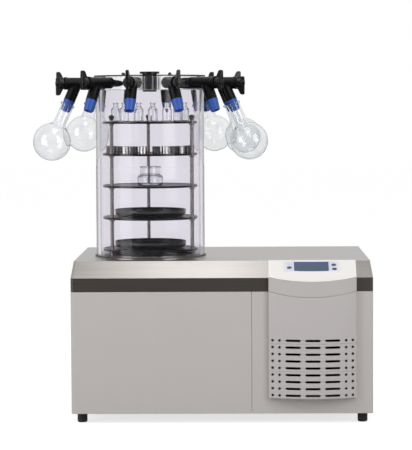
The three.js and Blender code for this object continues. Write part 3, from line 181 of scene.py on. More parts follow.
class Recipe:
    """The node tree of a material or the world, and the one way in which nodes are added to it."""

    def __init__(self, owner: "bpy.types.Material | bpy.types.World") -> None:
        """Empties the owner's node tree."""
        owner.use_nodes = True
        self.tree = owner.node_tree
        self.tree.nodes.clear()

    def node(
        self,
        kind: str,
        settings: dict[str, object] | None = None,
        inputs: dict[str | int, object] | None = None,
    ) -> bpy.types.Node:
        """Adds a node.

        Args:
            kind: The node's type.
            settings: Its own settings, set before its sockets; "stops" are a ramp's stops.
            inputs: A value, a signal or a link for each named or numbered socket.

        Returns:
            The node.
        """
        node = self.tree.nodes.new(kind)
        for name, value in (settings or {}).items():
            if name == "stops":
                self._set_stops(node.color_ramp, value)
            else:
                setattr(node, name, value)
        for name, value in (inputs or {}).items():
            self._feed(node.inputs[name], value)
        return node

    def _set_stops(self, ramp: bpy.types.ColorRamp, stops: Sequence[tuple[float, Colour]]) -> None:
        """Gives a ramp its stops, of which a new ramp has two.

        Args:
            ramp: The ramp.
            stops: Each stop's place and colour, in order.
        """
        for _ in range(len(stops) - len(ramp.elements)):
            ramp.elements.new(0.5)
        for element, (position, tint) in zip(ramp.elements, stops):
            element.position = position
            element.color = tint

    def _feed(self, socket: bpy.types.NodeSocket, value: object) -> None:
        """Links a signal or an output to a socket, or sets the socket's own value.

        Args:
            socket: The input socket.
            value: What goes into it.
        """
        if isinstance(value, Signal):
            self.tree.links.new(value.socket, socket)
        elif isinstance(value, bpy.types.NodeSocket):
            self.tree.links.new(value, socket)
        else:
            socket.default_value = value

    def signal(self, node: bpy.types.Node, output: str | int = 0) -> Signal:
        """One output of a node as a signal."""
        return Signal(self.tree, node.outputs[output])

    def place(
        self, centre: Sequence[float], turn: Sequence[float] = (0, 0, 0)
    ) -> bpy.types.NodeSocket:
        """Object coordinates, measured from a centre along turned axes.

        Args:
            centre: Where the pattern's own origin lies.
            turn: How the pattern's axes are turned, as Euler angles.

        Returns:
            The vector.
        """
        coords = self.node("ShaderNodeTexCoord").outputs["Object"]
        mapping = self.node(
            "ShaderNodeMapping",
            {"vector_type": "TEXTURE"},
            {"Vector": coords, "Location": tuple(centre), "Rotation": tuple(turn)},
        )
        return mapping.outputs[0]

    def axes(self, place: bpy.types.NodeSocket) -> tuple[Signal, Signal, Signal]:
        """The three parts of a vector as signals."""
        split = self.node("ShaderNodeSeparateXYZ", inputs={0: place})
        return self.signal(split, 0), self.signal(split, 1), self.signal(split, 2)

    def noise(self, stretch: Sequence[float], detail: float = 2.0) -> Signal:
        """Noise on Object coordinates.

        Args:
            stretch: How many features there are to a metre along each axis.
            detail: How many finer layers lie over them.

        Returns:
            The noise, from 0 to 1.
        """
        coords = self.node("ShaderNodeTexCoord").outputs["Object"]
        mapping = self.node("ShaderNodeMapping", inputs={"Vector": coords, "Scale": tuple(stretch)})
        inputs = {"Vector": mapping.outputs[0], "Scale": 1.0, "Detail": detail}
        return self.signal(self.node("ShaderNodeTexNoise", inputs=inputs))

    def mixed(self, factor: Signal, first: object, second: object) -> bpy.types.NodeSocket:
        """A colour between two others.

        Args:
            factor: 0 for the first and 1 for the second.
            first: A colour or a link to one.
            second: A colour or a link to one.

        Returns:
            The mixed colour.
        """
        inputs = {0: factor, 6: first, 7: second}
        return self.node("ShaderNodeMix", {"data_type": "RGBA"}, inputs).outputs[2]

    def bump(self, height: Signal, depth: float) -> bpy.types.NodeSocket:
        """A normal tilted by a height signal of which 1 stands for `depth` metres."""
        inputs = {"Height": height, "Distance": depth, "Strength": 1.0}
        return self.node("ShaderNodeBump", inputs=inputs).outputs[0]

    def glow(self, strength: "Signal | float") -> bpy.types.NodeSocket:
        """White light given off by a surface."""
        inputs = {0: (1, 1, 1, 1), 1: strength}
        return self.node("ShaderNodeEmission", inputs=inputs).outputs[0]

    def shader(self, inputs: dict[str | int, object]) -> bpy.types.NodeSocket:
        """A Principled shader."""
        return self.node("ShaderNodeBsdfPrincipled", inputs=inputs).outputs[0]

    def show(self, shader: bpy.types.NodeSocket, kind: str = "ShaderNodeOutputMaterial") -> None:
        """Ends the tree with its output."""
        self.node(kind, inputs={0: shader})


# ---------------------------------------------------------------- finishes


@dataclass(frozen=True)
class Finish(ABC):
    """How one kind of surface looks. `name` is the material's name.

    In the finishes below, patterns such as grain, patches and streaks are in features to a metre,
    and a `spread` is how far the roughness wanders.
    """

    name: str

    def material(self) -> bpy.types.Material:
        """Makes the material.

        Returns:
            The new material, with its whole node tree.
        """
        material = bpy.data.materials.new(self.name)
        recipe = Recipe(material)
        recipe.show(self.surface(recipe))
        return material

    @abstractmethod
    def surface(self, recipe: Recipe) -> bpy.types.NodeSocket:
        """Adds the finish's nodes.

        Args:
            recipe: The node tree to add to.

        Returns:
            Their shader.
        """


@dataclass(frozen=True)
class Coated(Finish):
    """Powder-coated sheet or moulded plastic: one colour, faint mottling and a fine even grain."""

    tint: str
    roughness: float = 0.5
    spread: float = 0.08
    smears: float = 40.0
    grain: float = 900.0
    grain_depth: float = 0.00003
    mottle: float = 0.03
    patches: float = 9.0
    coat: float = 0.0
    specular: float = 0.5

    def paint(self, recipe: Recipe) -> bpy.types.NodeSocket:
        """The coat's colour, a little darker and lighter in broad soft patches."""
        base = colour(self.tint)
        dark = tuple(v * (1 - self.mottle) for v in base[:3]) + (1.0,)
        return recipe.mixed(recipe.noise((self.patches,) * 3), dark, base)

    def relief(self, recipe: Recipe) -> bpy.types.NodeSocket:
        """The grain's normal."""
        return recipe.bump(recipe.noise((self.grain,) * 3), self.grain_depth)

    def surface(self, recipe: Recipe) -> bpy.types.NodeSocket:
        """Adds the coat's nodes.

        Args:
            recipe: The node tree to add to.

        Returns:
            Their shader.
        """
        smears = recipe.noise((self.smears,) * 3)
        return recipe.shader({
            "Base Color": self.paint(recipe),
            "Roughness": smears * self.spread + (self.roughness - self.spread / 2),
            "Specular IOR Level": self.specular,
            "Coat Weight": self.coat,
            "Coat Roughness": 0.12,
            "Normal": self.relief(recipe),
        })


@dataclass(frozen=True)
class GrillePlastic(Coated):
    """The grille cover's plastic, with shallow grooves along its rows and across its face."""

    centre: tuple[float, float, float] = (0, 0, 0)
    first_row: float = 0.0
    pitch: float = 0.01775
    rows: int = 9
    reach: float = 0.076
    fade: float = 0.004
    groove: float = 0.0011
    groove_depth: float = 0.0007
    seams: tuple[float, ...] = ()

    def relief(self, recipe: Recipe) -> bpy.types.NodeSocket:
        """The normal of the grain and the grooves.

        Args:
            recipe: The node tree to add to.

        Returns:
            The normal.
        """
        x, _, z = recipe.axes(recipe.place(self.centre))
        row = (z - self.first_row) / self.pitch
        off_row = abs((row + 0.5).fraction() - 0.5) * self.pitch
        in_rows = abs(row - (self.rows - 1) / 2).within(self.rows / 2, 0.1)
        in_reach = abs(x).within(self.reach, self.fade)
        groove = off_row.within(self.groove, self.groove) * in_rows * in_reach
        for seam in self.seams:
            groove = groove + abs(z - seam).within(self.groove / 2, self.groove / 2)
        grain = recipe.noise((self.grain,) * 3)
        return recipe.bump(grain * self.grain_depth - groove * self.groove_depth, 1.0)


@dataclass(frozen=True)
class Brushed(Finish):
    """Steel brushed along X, with long fine streaks and a soft sheen."""

    tint: str
    dark: str
    roughness: float = 0.3
    spread: float = 0.12
    metallic: float = 1.0
    streaks: tuple[float, float, float] = (4.0, 420.0, 420.0)
    bands: tuple[float, float, float] = (3.5, 30.0, 30.0)
    streak_share: float = 0.6
    streak_depth: float = 0.00002

    def surface(self, recipe: Recipe) -> bpy.types.NodeSocket:
        """Adds the steel's nodes.

        Args:
            recipe: The node tree to add to.

        Returns:
            Their shader.
        """
        fine = recipe.noise(self.streaks, 4.0)
        tone = fine * self.streak_share + recipe.noise(self.bands) * (1 - self.streak_share)
        return recipe.shader({
            "Base Color": recipe.mixed(tone, colour(self.dark), colour(self.tint)),
            "Roughness": fine * self.spread + (self.roughness - self.spread / 2),
            "Metallic": self.metallic,
            "Normal": recipe.bump(fine, self.streak_depth),
        })


@dataclass(frozen=True)
class Clear(Finish):
    """Clear plastic or glass. Seen edge on, its colour is painted darker: a painted shade that
    stands in for the dark surroundings seen in its edges.

    `edge_shade_from` and `edge_shade_at` say how far a face turns away before the painted shade
    starts and where it has its edge's colour. `mirror` is how much it reflects face on.
    """

    tint: str
    edge: str
    edge_shade_from: float = 0.8
    edge_shade_at: float = 1.0
    ior: float = 1.49
    mirror: float = 1.0

    def surface(self, recipe: Recipe) -> bpy.types.NodeSocket:
        """Adds the nodes. Lamps' light passes straight through.

        Args:
            recipe: The node tree to add to.

        Returns:
            Their shader.
        """
        # The ramp paints the edges darker: a painted shade for the dark surroundings seen in them.
        facing = recipe.node("ShaderNodeLayerWeight", inputs={"Blend": 0.5}).outputs["Facing"]
        stops = [(self.edge_shade_from, colour(self.tint)), (self.edge_shade_at, colour(self.edge))]
        ramp = recipe.node("ShaderNodeValToRGB", {"stops": stops}, {"Fac": facing})
        body = recipe.shader({
            "Base Color": ramp.outputs[0],
            "Roughness": 0.0,
            "IOR": self.ior,
            "Transmission Weight": 1.0,
            "Specular Tint": (self.mirror, self.mirror, self.mirror, 1.0),
        })
        path = recipe.node("ShaderNodeLightPath")
        lamp = recipe.signal(path, "Is Shadow Ray") + recipe.signal(path, "Is Diffuse Ray")
        through = recipe.node("ShaderNodeBsdfTransparent", inputs={0: colour(self.tint)}).outputs[0]
        inputs = {0: lamp.clamped(), 1: body, 2: through}
        return recipe.node("ShaderNodeMixShader", inputs=inputs).outputs[0]


@dataclass(frozen=True)
class Fascia(Coated):
    """The white fascia, with a pale printed field round its display and buttons."""

    field_tint: str = "#D5D8EA"
    centre: tuple[float, float, float] = (0, 0, 0)
    slope: float = 0.0
    half: tuple[float, float] = (0.069, 0.0195)
    blur: tuple[float, float] = (0.016, 0.006)
    strength: float = 0.85

    def paint(self, recipe: Recipe) -> bpy.types.NodeSocket:
        """White, and the pale field with soft ends.

        Args:
            recipe: The node tree to add to.

        Returns:
            The face's colour.
        """
        across, up, _ = recipe.axes(recipe.place(self.centre, (self.slope, 0, 0)))
        (wide, tall), (side_blur, end_blur) = self.half, self.blur
        inside = abs(across).within(wide, side_blur) * abs(up).within(tall, end_blur)
        return recipe.mixed(inside * self.strength, colour(self.tint), colour(self.field_tint))


@dataclass(frozen=True)
class Screen(Finish):
    """The display's window: a blue header and frame round a dull panel, under a gloss coat."""

    header: str
    panel: str
    centre: tuple[float, float, float]
    slope: float
    half: tuple[float, float]
    split: float = 0.0035
    frame: float = 0.0022
    blur: float = 0.0008
    haze: float = 0.12
    clouds: float = 60.0

    def surface(self, recipe: Recipe) -> bpy.types.NodeSocket:
        """Adds the display's nodes.

        Args:
            recipe: The node tree to add to.

        Returns:
            Their shader.
        """
        across, up, _ = recipe.axes(recipe.place(self.centre, (self.slope, 0, 0)))
        wide, floor = self.half[0] - self.frame, self.frame - self.half[1]
        middle, tall = (self.split + floor) / 2, (self.split - floor) / 2
        inside = abs(across).within(wide, self.blur) * abs(up - middle).within(tall, self.blur)
        haze = recipe.noise((self.clouds,) * 3) * self.haze
        tone = recipe.mixed((inside - haze).clamped(), colour(self.header), colour(self.panel))
        return recipe.shader({
            "Base Color": tone,
            "Roughness": 0.4,
            "Specular IOR Level": 0.3,
            "Coat Weight": 0.15,
            "Coat Roughness": 0.08,
        })


class Look(Enum):
    """The part's finishes."""

    PAINT = "painted_steel"
    BAND = "dark_band"
    COVER = "brushed_cover"
    FASCIA = "fascia_white"
    MOULDING = "moulding_grey"
    GRILLE = "moulding_grey_grille"
    DISPLAY = "display"
    BUTTON = "button"
    POT = "pot_steel"
    COPPER = "copper"
    RUBBER = "black_rubber"
    FOOT = "foot_rubber"
    SEAL = "seal_rubber"
    CONE = "blue_cone"
    DRUM = "clear_acrylic"
    LID = "clear_acrylic_lid"
    BLACK = "black_plastic"
    ROD = "rack_steel"
    CUP = "polished_cup"
    DARK_REFLECTION_CUP = "dark_reflection_cup"
    SHELF = "shelf_black"
    TRAY = "tray_black"
    GLASS = "glass"
    ENAMEL = "black_enamel"
    RADIATOR = "radiator_metal"


SLOTS = {
    Look.GRILLE: "moulding_grey",
    Look.CONE: "black_rubber",
    Look.FOOT: "black_rubber",
    Look.SEAL: "black_rubber",
    Look.LID: "clear_acrylic",
    Look.CUP: "rack_steel",
    Look.DARK_REFLECTION_CUP: "rack_steel",
    Look.TRAY: "shelf_black",
}


class FinishBook:
    """Makes each finish's material once and hands it out."""

    def __init__(self) -> None:
        """Starts with no finish."""
        self.finishes: dict[Look, Finish] = {}
        self.made: dict[Look, bpy.types.Material] = {}

    def take_in(self, finishes: dict[Look, Finish]) -> None:
        """Takes in finishes, whose materials are made when first asked for."""
        self.finishes.update(finishes)

    def material(self, look: Look) -> bpy.types.Material:
        """The look's material."""
        if look not in self.made:
            self.made[look] = self.finishes[look].material()
        return self.made[look]

    def slot(self, look: Look) -> str:
        """The record's material slot for the look."""
        return SLOTS.get(look, look.value)

    def dress_nodes(self) -> None:
        """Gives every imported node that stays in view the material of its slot."""
        slots = {part["node"]: part["material_slot"] for part in frame["record"]["subparts"]}
        for name, node in frame["nodes"].items():
            node.data.materials.clear()
            node.data.materials.append(self.material(Look(slots[name])))


# ---------------------------------------------------------------- modelling kit


class Form:
    """A mesh on its way to becoming a piece."""

    def __init__(self) -> None:
        """Starts with an empty mesh."""
        self.bm = bmesh.new()

    @classmethod
    def turned(cls, outline: Outline, sides: int, closed: bool = False) -> "Form":
        """Turns an outline of (radius, height) points about the Z axis.

        Args:
            outline: The points, in order.
            sides: How many steps go round.
            closed: Whether the last point joins the first, as on a ring.

        Returns:
            The turned form.
        """
        form = cls()
        points = [form.bm.verts.new((radius, 0, height)) for radius, height in outline]
        pairs = list(zip(points, points[1:])) + ([(points[-1], points[0])] if closed else [])
        edges = [form.bm.edges.new(pair) for pair in pairs]
        bmesh.ops.spin(
            form.bm, geom=points + edges, cent=(0, 0, 0), axis=(0, 0, 1), dvec=(0, 0, 0),
            angle=2 * math.pi, steps=sides, use_merge=True,
        )
        return form.cleaned()

    @classmethod
    def plate(cls, outlines: Sequence[Outline]) -> "Form":
        """A flat sheet in the XZ plane that faces -Y.

        Args:
            outlines: The outer outline, and then the holes in it.

        Returns:
            The sheet.
        """
        form = cls()
        edges = []
        for outline in outlines:
            points = [form.bm.verts.new((x, 0, z)) for x, z in outline]
            edges += [form.bm.edges.new(pair) for pair in zip(points, points[1:] + points[:1])]
        bmesh.ops.triangle_fill(
            form.bm, use_beauty=True, use_dissolve=False, edges=edges, normal=(0, -1, 0),
        )
        form.bm.normal_update()
        if sum(face.normal.y for face in form.bm.faces) > 0:
            bmesh.ops.reverse_faces(form.bm, faces=form.bm.faces)
        return form

    @classmethod
    def skinned(cls, rings: Sequence[Sequence[Vector]], around: bool = False) -> "Form":
        """Bridges closed rings of points that follow each other.

        Args:
            rings: The rings, with equally many points each.
            around: Whether the last ring joins the first; if not, both get a cap.

        Returns:
            The closed form.
        """
        form = cls()
        loops = []
        for ring in rings:
            points = [form.bm.verts.new(point) for point in ring]
            loops.append([form.bm.edges.new(pair) for pair in zip(points, points[1:] + points[:1])])
        for near, far in zip(loops, loops[1:] + (loops[:1] if around else [])):
            bmesh.ops.bridge_loops(form.bm, edges=near + far)
        if not around:
            bmesh.ops.edgeloop_fill(form.bm, edges=loops[0])
            bmesh.ops.edgeloop_fill(form.bm, edges=loops[-1])
        return form.cleaned()

    @classmethod
    def block(cls, low: Vector, high: Vector) -> "Form":
        """A box between two corners.

        Args:
            low: Its least X, Y and Z.
            high: Its greatest X, Y and Z.

        Returns:
            The box.
        """
        form = cls()
        middle, size = (high + low) / 2, high - low
        matrix = Matrix.Translation(middle) @ Matrix.Diagonal(size.to_4d())
        bmesh.ops.create_cube(form.bm, size=1.0, matrix=matrix)
        return form

    @classmethod
    def oval(cls, width: float, height: float, low: float, high: float, sides: int = 40) -> "Form":
        """An upright bar of oval section.

        Args:
            width: The section's size along X.
            height: The section's size along Y.
            low: The bar's lower end.
            high: The bar's upper end.
            sides: How many steps go round.

        Returns:
            The bar.
        """
        form = cls()
        bmesh.ops.create_circle(form.bm, cap_ends=True, segments=sides, radius=0.5)
        bmesh.ops.scale(form.bm, vec=(width, height, 1), verts=form.bm.verts)
        bmesh.ops.translate(form.bm, vec=(0, 0, low), verts=form.bm.verts)
        grown = bmesh.ops.extrude_face_region(form.bm, geom=form.bm.faces[:])
        tops = [item for item in grown["geom"] if isinstance(item, bmesh.types.BMVert)]
        bmesh.ops.translate(form.bm, vec=(0, 0, high - low), verts=tops)
        return form.cleaned()

    def cleaned(self) -> "Form":
        """Merges doubled points and turns every face outwards."""
        bmesh.ops.remove_doubles(self.bm, verts=self.bm.verts, dist=SAME)
        bmesh.ops.recalc_face_normals(self.bm, faces=self.bm.faces)
        return self

    def eased(
        self,
        width: float,
        angle: float = CORNER,
        segments: int = 2,
        only: Callable[[bmesh.types.BMEdge], bool] = lambda edge: True,
    ) -> "Form":
        """Rounds the edges that bend more than an angle.

        Args:
            width: How far the rounding reaches from the edge.
            angle: The least bend, in degrees.
            segments: How many faces go round.
            only: Tells an edge that is rounded from one that is left sharp.

        Returns:
            The form itself.
        """
        limit = math.radians(angle)
        edges = [
            edge for edge in self.bm.edges
            if edge.is_manifold and edge.calc_face_angle(0.0) > limit and only(edge)
        ]
        bmesh.ops.bevel(
            self.bm, geom=edges, offset=width, offset_type="OFFSET", segments=segments,
            profile=0.5, affect="EDGES", clamp_overlap=True, material=-1,
        )
        return self

    def sliced(self, stations: Iterable[float]) -> "Form":
        """Cuts the form's faces along upright planes, and keeps both sides.

        Args:
            stations: Each plane's X.

        Returns:
            The form itself.
        """
        for x in stations:
            bmesh.ops.bisect_plane(
                self.bm, geom=self.bm.verts[:] + self.bm.edges[:] + self.bm.faces[:],
                dist=SAME / 10, plane_co=(x, 0, 0), plane_no=(1, 0, 0),
            )
        return self

    def mapped(self, rule: Callable[[Vector], Vector]) -> "Form":
        """Moves every point by a rule."""
        for vert in self.bm.verts:
            vert.co = rule(vert.co)
        return self

    def thickened(self, rule: Callable[[Vector], Vector]) -> "Form":
        """Makes a closed body between an open sheet and a copy of it, moved by a rule.

        Args:
            rule: Where a point's copy goes.

        Returns:
            The form itself.
        """
        grown = bmesh.ops.extrude_face_region(self.bm, geom=self.bm.faces[:])
        for item in grown["geom"]:
            if isinstance(item, bmesh.types.BMVert):
                item.co = rule(item.co)
        return self.cleaned()

    def hemmed(self, rule: Callable[[Vector], Vector], keep: Callable[[Vector], bool]) -> "Form":
        """Folds a sheet's outer border back.

        Args:
            rule: Where the fold's free edge goes.
            keep: Tells a border point that is folded from one on a hole's edge.

        Returns:
            The form itself.
        """
        border = [
            edge for edge in self.bm.edges
            if edge.is_boundary and all(keep(vert.co) for vert in edge.verts)
        ]
        grown = bmesh.ops.extrude_edge_only(self.bm, edges=border)
        for item in grown["geom"]:
            if isinstance(item, bmesh.types.BMVert):
                item.co = rule(item.co)
        bmesh.ops.recalc_face_normals(self.bm, faces=self.bm.faces)
        return self

    def walled(self, thickness: float) -> "Form":
        """Gives an open sheet a wall on the side away from its faces."""
        bmesh.ops.solidify(self.bm, geom=self.bm.faces[:], thickness=thickness)
        return self

    def moved(self, matrix: Matrix) -> "Form":
        """Moves the whole form."""
        bmesh.ops.transform(self.bm, matrix=matrix, verts=self.bm.verts)
        return self

    def with_also(self, *others: "Form") -> "Form":
        """Takes in the meshes of other forms.

        Args:
            others: The forms, which stay as they are.

        Returns:
            The form itself.
        """
        for other in others:
            mesh = other.mesh("spare")
            self.bm.from_mesh(mesh)
            bpy.data.meshes.remove(mesh)
        return self

    def fused(self, voxel: float, rounds: int) -> "Form":
        """Runs overlapping bodies into one moulded body with soft inner corners.

        Args:
            voxel: The finest size kept.
            rounds: How often the result is smoothed.

        Returns:
            The new form.
        """
        body = bpy.data.objects.new("spare", self.mesh("spare"))
        bpy.context.scene.collection.objects.link(body)
        remesh = body.modifiers.new("Remesh", "REMESH")
        remesh.mode = "VOXEL"
        remesh.voxel_size = voxel
        smooth = body.modifiers.new("Smooth", "SMOOTH")
        smooth.iterations = rounds
        graph = bpy.context.evaluated_depsgraph_get()
        result = Form()
        result.bm.from_mesh(body.evaluated_get(graph).to_mesh())
        bpy.data.objects.remove(body)
        return result

    def mesh(self, name: str) -> bpy.types.Mesh:
        """The form as a mesh."""
        mesh = bpy.data.meshes.new(name)
        self.bm.to_mesh(mesh)
        return mesh


class Bench:
    """Turns forms into pieces: dressed, riding on a body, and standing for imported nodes."""

    def __init__(self, finishes: FinishBook) -> None:
        """Keeps the finishes and a count of the pieces."""
        self.finishes = finishes
        self.count = 0

    def piece(
        self,
        name: str,
        form: Form,
        look: Look,
        replaces: Sequence[str] = (),
        body: str = ROOT,
        sharp: float = SHARP,
    ) -> bpy.types.Object:
        """Adds a piece to the scene.

        Args:
            name: The piece's name.
            form: Its shape, in place.
            look: Its finish.
            replaces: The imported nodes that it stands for.
            body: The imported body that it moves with.
            sharp: The bend at which shading breaks.

        Returns:
            The piece.
        """
        mesh = form.mesh(name)
        mesh.shade_smooth()
        mesh.set_sharp_from_angle(angle=sharp)
        mesh.materials.append(self.finishes.material(look))
        item = bpy.data.objects.new(name, mesh)
        item.modifiers.new("Flat faces stay flat", "WEIGHTED_NORMAL").keep_sharp = True
        bpy.context.scene.collection.objects.link(item)
        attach(item, body)
        self.finishes.slot(look)
        if replaces:
            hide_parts(*replaces)
        self.count += 1
        logger.info("%s: %d faces, %s, on %s", name, len(mesh.polygons), look.value, body)
        return item


def round_place(radius: float, azimuth: float) -> Matrix:
    """A place on a circle about the drum's axis.

    Args:
        radius: The circle's radius.
        azimuth: Degrees from the front, towards the right.

    Returns:
        The move from the axis to that place.
    """
    angle = math.radians(azimuth - 90)
    return Matrix.Translation((radius * math.cos(angle), radius * math.sin(angle), 0))


# ---------------------------------------------------------------- cabinet


@dataclass
class Cabinet:
    """Feet, pan and the two front panels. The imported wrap, band and top cover stay as they are.

    `sheet` is the metal's thickness, `corner` the radius of the panels' outer corners and `fold`
    that of every other fold. The window is the opening in the right panel behind the grille.
    """

    bench: Bench
    sheet: float = 0.0015
    corner: float = 0.006
    fold: float = 0.0012
    foot_radius: float = 0.013
    foot_recess: float = 0.0015
    foot_chamfer: float = 0.003
    foot_round: float = 0.002
    foot_gap: float = 0.002
    foot_inset: tuple[float, float] = (0.025, 0.045)
    window_margin: float = 0.022
    window_floor: float = 0.011
    window_height: float = 0.16

    def build(self) -> None:
        """Builds all its pieces."""
        self.panel("left_front_panel")
        self.panel("right_front_panel")
        self.pan_and_feet()

    def panel(self, node: str) -> None:
        """One pressed front panel, folded back along its edges.

        Args:
            node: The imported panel.
        """
        low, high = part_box(node)
        outlines = [[(low.x, low.z), (high.x, low.z), (high.x, high.z), (low.x, high.z)]]
        grille_low, grille_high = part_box("grille_cover")
        if low.x < grille_low.x < high.x:
            left, right = grille_low.x + self.window_margin, grille_high.x - self.window_margin
            floor = grille_low.z + self.window_floor
            top = floor + self.window_height
            outlines.append([(left, floor), (right, floor), (right, top), (left, top)])

        def on_rim(point: Vector) -> bool:
            """Whether a point lies on the panel's outer edge."""
            across = min(abs(point.x - low.x), abs(point.x - high.x))
            up = min(abs(point.z - low.z), abs(point.z - high.z))
            return min(across, up) < SAME

        depth = high.y - low.y
        form = Form.plate(outlines).moved(Matrix.Translation((0, low.y, 0)))
        form.hemmed(lambda point: point + Vector((0, depth, 0)), on_rim)
        outer = low.x if abs(low.x) > abs(high.x) else high.x

        def on_corner(edge: bmesh.types.BMEdge) -> bool:
            """Whether an edge is the fold at the cabinet's own corner."""
            ends = [vert.co - Vector((outer, low.y, 0)) for vert in edge.verts]
            return all(max(abs(end.x), abs(end.y)) < SAME for end in ends)

        bmesh.ops.bevel(
            form.bm, geom=[edge for edge in form.bm.edges if on_corner(edge)], offset=self.corner,
            segments=5, profile=0.5, affect="EDGES", material=-1,
        )
        form.eased(self.fold, SQUARE, 3).walled(self.sheet)
        self.bench.piece(f"{node}_sheet", form, Look.PAINT, [node])

    def pan_and_feet(self) -> None:
        """The floor pan with its turned-up rim, and a rubber foot under each corner."""
        low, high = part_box("base_pan")
        wrap_low, wrap_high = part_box("cabinet_wrap")
        pan_floor = wrap_low.z + self.sheet + FIT
        form = Form.block(Vector((low.x, low.y, pan_floor)), high)
        top = max(form.bm.faces, key=lambda face: face.calc_center_median().z)
        bmesh.ops.delete(form.bm, geom=[top], context="FACES_ONLY")
        form.eased(self.fold, SQUARE).walled(self.sheet)
        self.bench.piece("base_pan_tray", form, Look.PAINT, ["base_pan"])
        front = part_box("left_front_panel")[0].y
        across, along = self.foot_inset
        columns = {"left": wrap_low.x + across, "right": wrap_high.x - across}
        rows = {"front": front + along, "rear": wrap_high.y - along}
        for side, x in columns.items():
            for end, y in rows.items():
                self.foot(f"foot_{end}_{side}", x, y, pan_floor)

    def foot(self, name: str, x: float, y: float, top: float) -> None:
        """One turned rubber foot.

        Args:
            name: The piece's name.
            x: Where its axis stands across.
            y: Where its axis stands in depth.
            top: The pan's underside.
        """
        r, recess, chamfer = self.foot_radius, self.foot_recess, self.foot_chamfer
        head = top - self.foot_gap
        outline = [
            (0, recess), (0.6 * r, recess), (0.6 * r, 0), (r - self.foot_round, 0), (r, chamfer),
            (r, head - chamfer), (r - recess, head), (0, head),
        ]
        form = Form.turned(outline, 40).eased(0.0006, BLUNT).moved(Matrix.Translation((x, y, 0)))
        self.bench.piece(name, form, Look.FOOT)


# ---------------------------------------------------------------- control module


